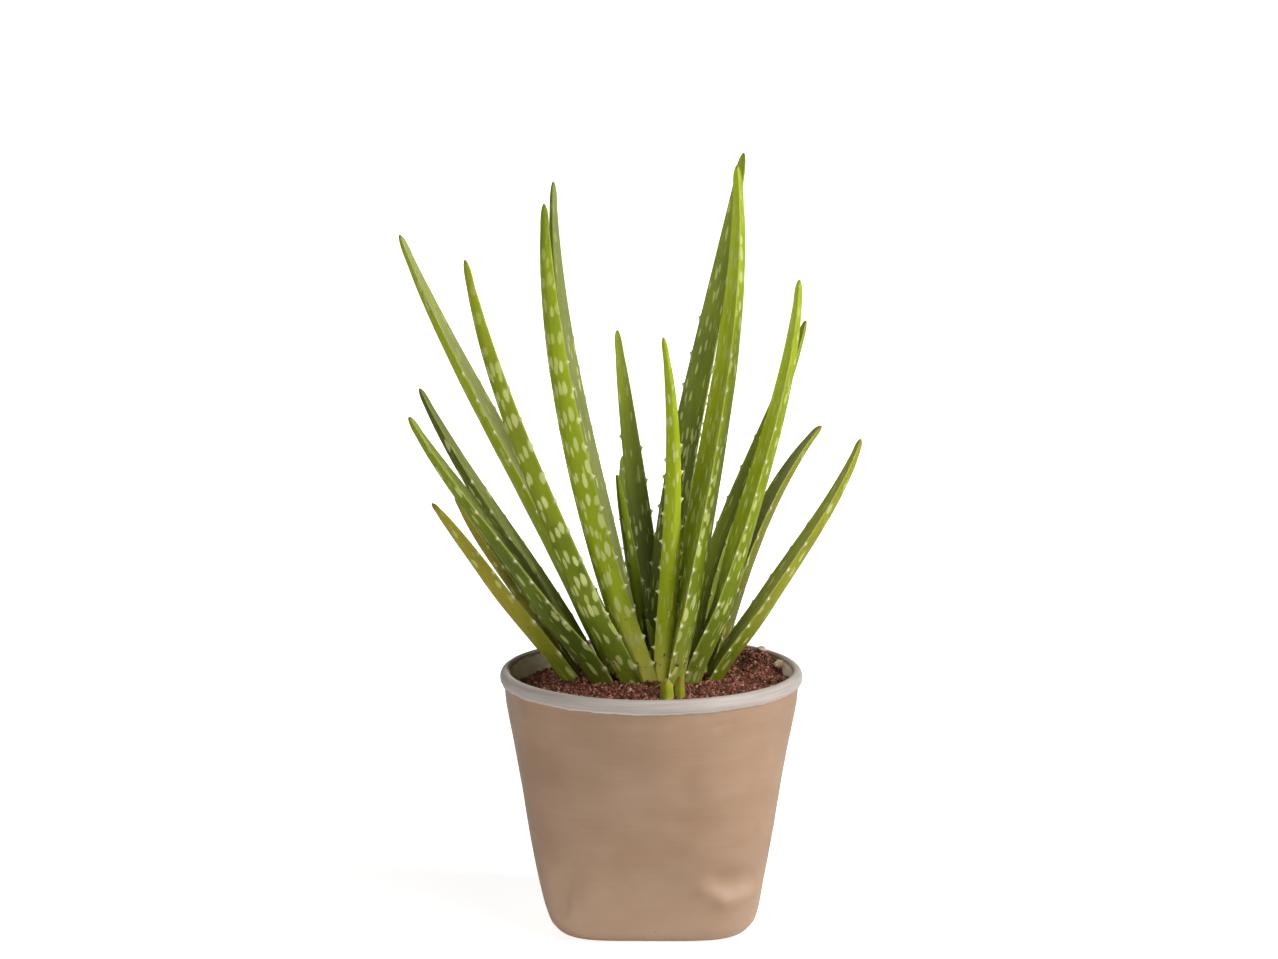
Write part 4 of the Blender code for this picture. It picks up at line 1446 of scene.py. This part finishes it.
class LeafForm:
    """One leaf's centre line, width and facing, in millimetres, after its solid."""

    def __init__(self, name):
        foot, lower, upper, tip, half_width, facing_foot, facing_top = LEAVES[name]
        facing_foot = FOOT_TURNS.get(name, facing_foot)
        self.foot = np.array((*foot, FOOT_Z), dtype=float)
        self.tip = np.array(tip, dtype=float)
        lower, upper = np.array(lower, dtype=float), np.array(upper, dtype=float)
        # Handles of one smooth curve that passes a third and two thirds of the way along
        self.first_pull = (18.0 * lower - 9.0 * upper - 5.0 * self.foot + 2.0 * self.tip) / 6.0
        self.last_pull = (18.0 * upper - 9.0 * lower - 5.0 * self.tip + 2.0 * self.foot) / 6.0
        legs = (lower - self.foot, upper - lower, self.tip - upper)
        self.length = float(sum(np.linalg.norm(leg) for leg in legs))
        self.half_width = half_width
        self.bend = np.array((*FOOT_BENDS.get(name, (0.0, 0.0)), 0.0))
        self.taper = BLUNT_TAPER if self.length < BLUNT_BELOW else TAPER
        self.facing = (math.radians(facing_foot), math.radians(facing_top))

    def centre(self, share):
        """Return points of the centre line at shares of its length, bent aside near the foot."""
        share = share[..., None]
        rest = 1.0 - share
        bent = self.bend * (1.0 - smooth_step(share * self.length / BEND_REACH))
        from_foot = rest ** 3 * self.foot + 3.0 * rest * rest * share * self.first_pull
        return bent + from_foot + 3.0 * rest * share * share * self.last_pull + share ** 3 * self.tip

    def along(self, share):
        """Return the direction of the centre line."""
        share = share[..., None]
        rest = 1.0 - share
        start = rest * rest * (self.first_pull - self.foot)
        middle = 2.0 * rest * share * (self.last_pull - self.first_pull)
        way = start + middle + share * share * (self.tip - self.last_pull)
        return way / np.linalg.norm(way, axis=-1, keepdims=True)

    def frame(self, share):
        """Return the directions across the leaf and out of its back."""
        along = self.along(share)
        turn = smooth_step(share / TURN_SHARE)
        facing = self.facing[0] + (self.facing[1] - self.facing[0]) * turn
        across = np.stack([-np.sin(facing), np.cos(facing), np.zeros_like(facing)], axis=-1)
        across = across - np.sum(across * along, axis=-1, keepdims=True) * along
        across = across / np.linalg.norm(across, axis=-1, keepdims=True)
        return across, np.cross(across, along)

    def width_at(self, distance):
        """Return half the leaf's width at distances from the soil, a little fuller near the tip."""
        share = np.clip(distance / self.length, 0.0, 1.0)
        half_width = self.half_width * (1.0 - share ** self.taper[0]) ** self.taper[1]
        half_width = half_width * (1.0 + TIP_SWELL * smooth_step((share - TIP_FROM) / (1.0 - TIP_FROM)))
        return half_width * (1.0 - NARROW_FOOT * (1.0 - smooth_step(distance / NARROW_REACH)))

    def surface(self, distance, place, back, thinned=0.0, pulled=0.0):
        """Return points of the leaf's back or channel, with its margins pulled out at the teeth."""
        share = np.clip(distance / self.length, 0.0, 1.0)
        half_width = self.width_at(distance)
        channel = half_width * (CHANNEL_AT_TIP + CHANNEL_DEEPENS * (1.0 - share))
        thickness = half_width * (THICK_AT_FOOT + THICK_GROWS * share)
        rounded = np.sqrt(np.clip(1.0 - np.abs(place) ** MARGIN_ROUNDNESS, 0.0, 1.0))
        margin = np.minimum(MARGIN_THICKNESS, half_width * MARGIN_SHARE) / 2.0 * rounded
        curve = 1.0 - place * place
        out = np.where(back, margin + (channel + thickness) * curve, channel * curve - margin)
        out = out * (1.0 - thinned) - (channel + thickness) / 2.0
        across, outward = self.frame(share)
        sideways = (place * half_width + np.sign(place) * pulled)[..., None]
        buried = self.along(share) * np.minimum(distance, 0.0)[..., None]
        return self.centre(share) + buried + across * sideways + outward * out[..., None]


def tooth_places(leaf, draw):
    """List the distances of the teeth, the same as in the solids."""
    places = []
    distance = FIRST_TOOTH
    last = leaf.length * TOOTHED_SHARE
    while distance < last:
        places.append(distance)
        near, far = TOOTH_SPACING
        distance += (near + (far - near) * distance / last) * draw.uniform(*SPACING_DRAW)
    return places


def ring_distances(leaf, teeth, gap):
    """List the leaf's rings: close at each tooth and at the tip, wider between."""
    rings = {0.0}
    for tooth in teeth:
        rings.update(tooth + step for step in TOOTH_RINGS)
    rings.update(leaf.length - step for step in TIP_RINGS)
    rings = sorted(ring for ring in rings if 0.0 <= ring < leaf.length)
    filled = []
    for low, high in zip(rings, rings[1:]):
        steps = max(math.ceil((high - low) / gap), 1)
        filled += [low + (high - low) * step / steps for step in range(steps)]
    return np.array([*BURIED_RINGS, *filled, rings[-1]])


def leaf_columns():
    """Return the angle, place and side of each column round a leaf, from margin to margin and back."""
    back = np.linspace(0.0, math.pi, BACK_COLUMNS + 1)
    channel = np.linspace(math.pi, 2.0 * math.pi, CHANNEL_COLUMNS + 1)[1:]
    turn = np.concatenate([back, channel])
    return turn, -np.cos(turn), turn < math.pi + 1e-6


def wander(places, number, layer):
    """Return a soft random value for each place along a leaf, different on each leaf."""
    return np.array([noise.noise(Vector((place, 5.0 * number, layer))) for place in places])


def near_margin(place, edge, power):
    """Return a value for each column that rises from 0 at an edge to 1 at the margin."""
    return smooth_step((np.abs(place) - edge) / (1.0 - edge)) ** power


def tooth_relief(leaf, rings, place, teeth, scales):
    """Return how far out each point lies for the teeth, and how far their pale tone spreads."""
    height = np.zeros((len(rings), len(place)))
    flare = np.zeros_like(height)
    for tooth, pair in zip(teeth, scales):
        away = np.abs(rings - tooth)[:, None]
        tall = TOOTH_HEIGHT * TOOTH_SHARE * (1.0 - TOOTH_SHRINKS * tooth / leaf.length)
        thorn = np.clip(1.0 - away / TOOTH_REACH, 0.0, 1.0) ** TOOTH_CURVE
        glow = np.clip(1.0 - away / TOOTH_FLARE, 0.0, 1.0) ** 2
        for side, scale in zip((-1.0, 1.0), pair):
            on_side = place * side > 0.0
            height = np.maximum(height, tall * scale * thorn * (on_side * near_margin(place, *TOOTH_EDGE)))
            flare = np.maximum(flare, glow * on_side * near_margin(place, *FLARE_EDGE))
    return height, flare


def shape_leaf(name, leaf, teeth, scales, gap, number):
    """Return a leaf's grid of points with what its material reads."""
    turn, place, back = leaf_columns()
    rings = ring_distances(leaf, teeth, gap)
    near_tip = smooth_step((leaf.length - rings) / SKEW_REACH)
    skew = TOOTH_SKEW * smooth_step(rings / SKEW_REACH) * near_tip
    distance = np.minimum(rings[:, None] + skew[:, None] * place, leaf.length)
    height, flare = tooth_relief(leaf, rings, place, teeth, scales)
    if leaf.length < BLUNT_BELOW:
        torn = np.abs(wander(rings * TORN_PITCH, number, 3.0))[:, None]
        height = height + TORN_EDGE * torn * near_margin(place, *TOOTH_EDGE)
    share = height / (TOOTH_HEIGHT * TOOTH_SHARE)
    places = np.broadcast_to(place, distance.shape)
    points = leaf.surface(distance, places, back, TOOTH_THINS * share, height)
    way = np.clip(distance / leaf.length, 0.0, 1.0)
    swell = FLESH_SWELL * wander(rings / FLESH_SWELL_PITCH, number, 0.0)[:, None] * (1.0 - place ** 2)
    points += leaf.frame(way)[1] * (swell * leaf.half_width / USUAL_HALF_WIDTH)[..., None]
    points += leaf.along(way) * (TOOTH_RISE * share)[..., None]
    points = np.concatenate([points, np.tile(leaf.tip, (1, len(turn), 1))])
    distance = np.concatenate([distance, np.full((1, len(turn)), leaf.length)])
    across, along = (step * number for step in NEXT_LEAF_PATTERN)
    place_mm = np.stack([
        place * leaf.width_at(distance) + np.where(back, 0.0, CHANNEL_PATTERN) + across,
        distance + along,
        leaf.length - distance + (FRESH_TIP if name in FRESH_TIPS else 0.0),
    ], axis=-1)
    tone = np.pad(np.maximum(share * TOOTH_TONE, flare * FLARE_TONE), ((0, 1), (0, 0)))
    spread = np.broadcast_to(np.abs(place), distance.shape)
    zone = np.stack([spread, distance / leaf.length, np.clip(tone, 0.0, 1.0)], axis=-1)
    return points, place_mm, zone, np.broadcast_to(back, distance.shape).astype(float)


def make_leaf(name, number, teeth, scales, gap, material):
    """Wrap a grid round one leaf's form and close its seam, foot and tip."""
    points, place_mm, zone, back = shape_leaf(name, LeafForm(name), teeth, scales, gap, number)
    rows, columns = points.shape[:2]
    clear_selection()
    bpy.ops.mesh.primitive_grid_add(x_subdivisions=columns - 1, y_subdivisions=rows - 1, size=1.0)
    piece = bpy.context.object
    set_points(piece, points.reshape(-1, 3) * MM)
    # The last look darkens the back side as painted shade, or lightens it as painted light where below 0
    foot_freshness_and_light, tip_freshness_and_light, yellowed, flecks, bands, bloom_and_sheen, pale, back_painted_shade = LEAF_LOOKS[name]
    share = zone[..., 1]
    # Freshness up the leaf carries the leaves' age, with painted shade low in the clump and painted light
    # near the tips
    freshness_and_light = foot_freshness_and_light + (tip_freshness_and_light - foot_freshness_and_light) * share - back_painted_shade * share * back
    same = np.ones_like(share)
    values = {
        "blade_mm": place_mm,
        "blade_zone": zone,
        "blade_looks": np.stack([freshness_and_light, yellowed * same, flecks * same], axis=-1),
        "blade_marks": np.stack([back, bands * same, bloom_and_sheen * same], axis=-1),
    }
    for label, grid in values.items():
        set_attribute(piece.data, label, grid.reshape(-1, 3))
    set_attribute(piece.data, "blade_pale", (pale * (1.0 - smooth_step(share / PALE_REACH))).ravel())
    weld_and_turn_out(piece)
    choose(piece)
    bpy.ops.object.shade_smooth()
    finish_piece(piece, "aloe_" + name, "leaf", material, name)


class ALOE_OT_leaves(bpy.types.Operator):
    """Grow every leaf of the clump and of the small offset"""

    bl_idname = "aloe.leaves"
    bl_label = "Leaves"

    def execute(self, context):
        settings = context.scene.aloe_leaves
        draw = random.Random(TOOTH_SEED)
        material = leaf_material(settings)
        gap = settings.ring_gap / MM
        for number, name in enumerate(LEAVES):
            teeth = tooth_places(LeafForm(name), draw)
            scales = [(draw.uniform(*HEIGHT_DRAW), draw.uniform(*HEIGHT_DRAW)) for _ in teeth]
            make_leaf(name, number, teeth, scales, gap, material)
        return {"FINISHED"}


# Stage


def add_light(name, place, target, power, size):
    """Add a soft square light that faces a target."""
    bpy.ops.object.light_add(type="AREA", location=place)
    light = bpy.context.object
    light.name = name
    light.data.energy = power
    light.data.size = size
    light.rotation_euler = (Vector(target) - Vector(place)).to_track_quat("-Z", "Y").to_euler()


class ALOE_OT_stage(bpy.types.Operator):
    """Set up the floor, the soft lights and the camera"""

    bl_idname = "aloe.stage"
    bl_label = "Stage"

    camera_place = (-0.0056, -1.5, 0.4515)
    camera_pitch = 80.74
    lens = 93.35
    floor_radius = 30.0
    lights = (
        ("Key light", "key", (1.55, -0.5, 1.0), (0.0, 0.0, 0.2), 0.8),
        ("Fill light", "fill", (-0.95, -1.5, 0.75), (0.0, 0.0, 0.2), 1.0),
        ("Top light", "top", (0.35, -0.4, 1.1), (0.0, 0.0, 0.3), 0.5),
        ("Back light", "back", (-0.5, 1.4, 0.9), (0.0, 0.0, 0.2), 1.0),
    )

    def execute(self, context):
        stage = context.scene.aloe_stage
        self.lay_floor(context, stage)
        clear_selection()
        for name, power, place, target, size in self.lights:
            add_light(name, place, target, getattr(stage, power), size)
        self.set_surroundings(context.scene, stage)
        tilt = (math.radians(self.camera_pitch), 0.0, 0.0)
        bpy.ops.object.camera_add(location=self.camera_place, rotation=tilt)
        camera = context.object
        camera.name = "Camera"
        camera.data.lens = self.lens
        camera.data.sensor_width = 36.0
        context.scene.camera = camera
        return {"FINISHED"}

    def lay_floor(self, context, stage):
        """Lay a wide round floor."""
        clear_selection()
        bpy.ops.mesh.primitive_circle_add(vertices=64, radius=self.floor_radius, fill_type="NGON")
        floor = context.object
        floor.name = "floor"
        floor.data.materials.append(floor_material(stage))

    def set_surroundings(self, scene, stage):
        """Light the scene evenly from all round, with plain white behind, and show colours plainly."""
        scene.view_settings.view_transform = "Standard"
        scene.world = scene.world or bpy.data.worlds.new("World")
        scene.world.use_nodes = True
        tree = scene.world.node_tree
        seen = add(tree, "ShaderNodeLightPath").outputs["Is Camera Ray"]
        strength = maths(tree, "MAXIMUM", seen, stage.ambient)
        feed(tree, tree.nodes["Background"], {"Color": (1.0, 1.0, 1.0, 1.0), "Strength": strength})


class ALOE_PT_panel(bpy.types.Panel):
    """Lists the steps that build the potted aloe"""

    bl_idname = "ALOE_PT_panel"
    bl_label = "Potted Aloe Vera"
    bl_space_type = "VIEW_3D"
    bl_region_type = "UI"
    bl_category = "Aloe"

    def draw(self, context):
        column = self.layout.column()
        for step in STEPS:
            column.operator(step.bl_idname)
        for group in ("aloe_pot", "aloe_soil", "aloe_leaves", "aloe_stage"):
            settings = getattr(context.scene, group)
            box = column.box()
            for name in settings.__annotations__:
                box.prop(settings, name)


SETTINGS = {
    "aloe_pot": AloePotSettings,
    "aloe_soil": AloeSoilSettings,
    "aloe_leaves": AloeLeafSettings,
    "aloe_stage": AloeStageSettings,
}
STEPS = (ALOE_OT_pot, ALOE_OT_soil_bed, ALOE_OT_crumbs, ALOE_OT_litter, ALOE_OT_leaves, ALOE_OT_stage)


def register():
    """Register the settings, the steps and the panel."""
    for name, group in SETTINGS.items():
        bpy.utils.register_class(group)
        setattr(bpy.types.Scene, name, PointerProperty(type=group))
    for step in (*STEPS, ALOE_PT_panel):
        bpy.utils.register_class(step)


def unregister():
    """Take everything out again."""
    for step in (ALOE_PT_panel, *reversed(STEPS)):
        bpy.utils.unregister_class(step)
    for name, group in SETTINGS.items():
        delattr(bpy.types.Scene, name)
        bpy.utils.unregister_class(group)


def main():
    """Build everything in order."""
    register()
    bpy.ops.aloe.stage()
    bpy.ops.aloe.pot()
    bpy.ops.aloe.soil_bed()
    bpy.ops.aloe.crumbs()
    bpy.ops.aloe.litter()
    bpy.ops.aloe.leaves()


if __name__ == "__main__":
    main()
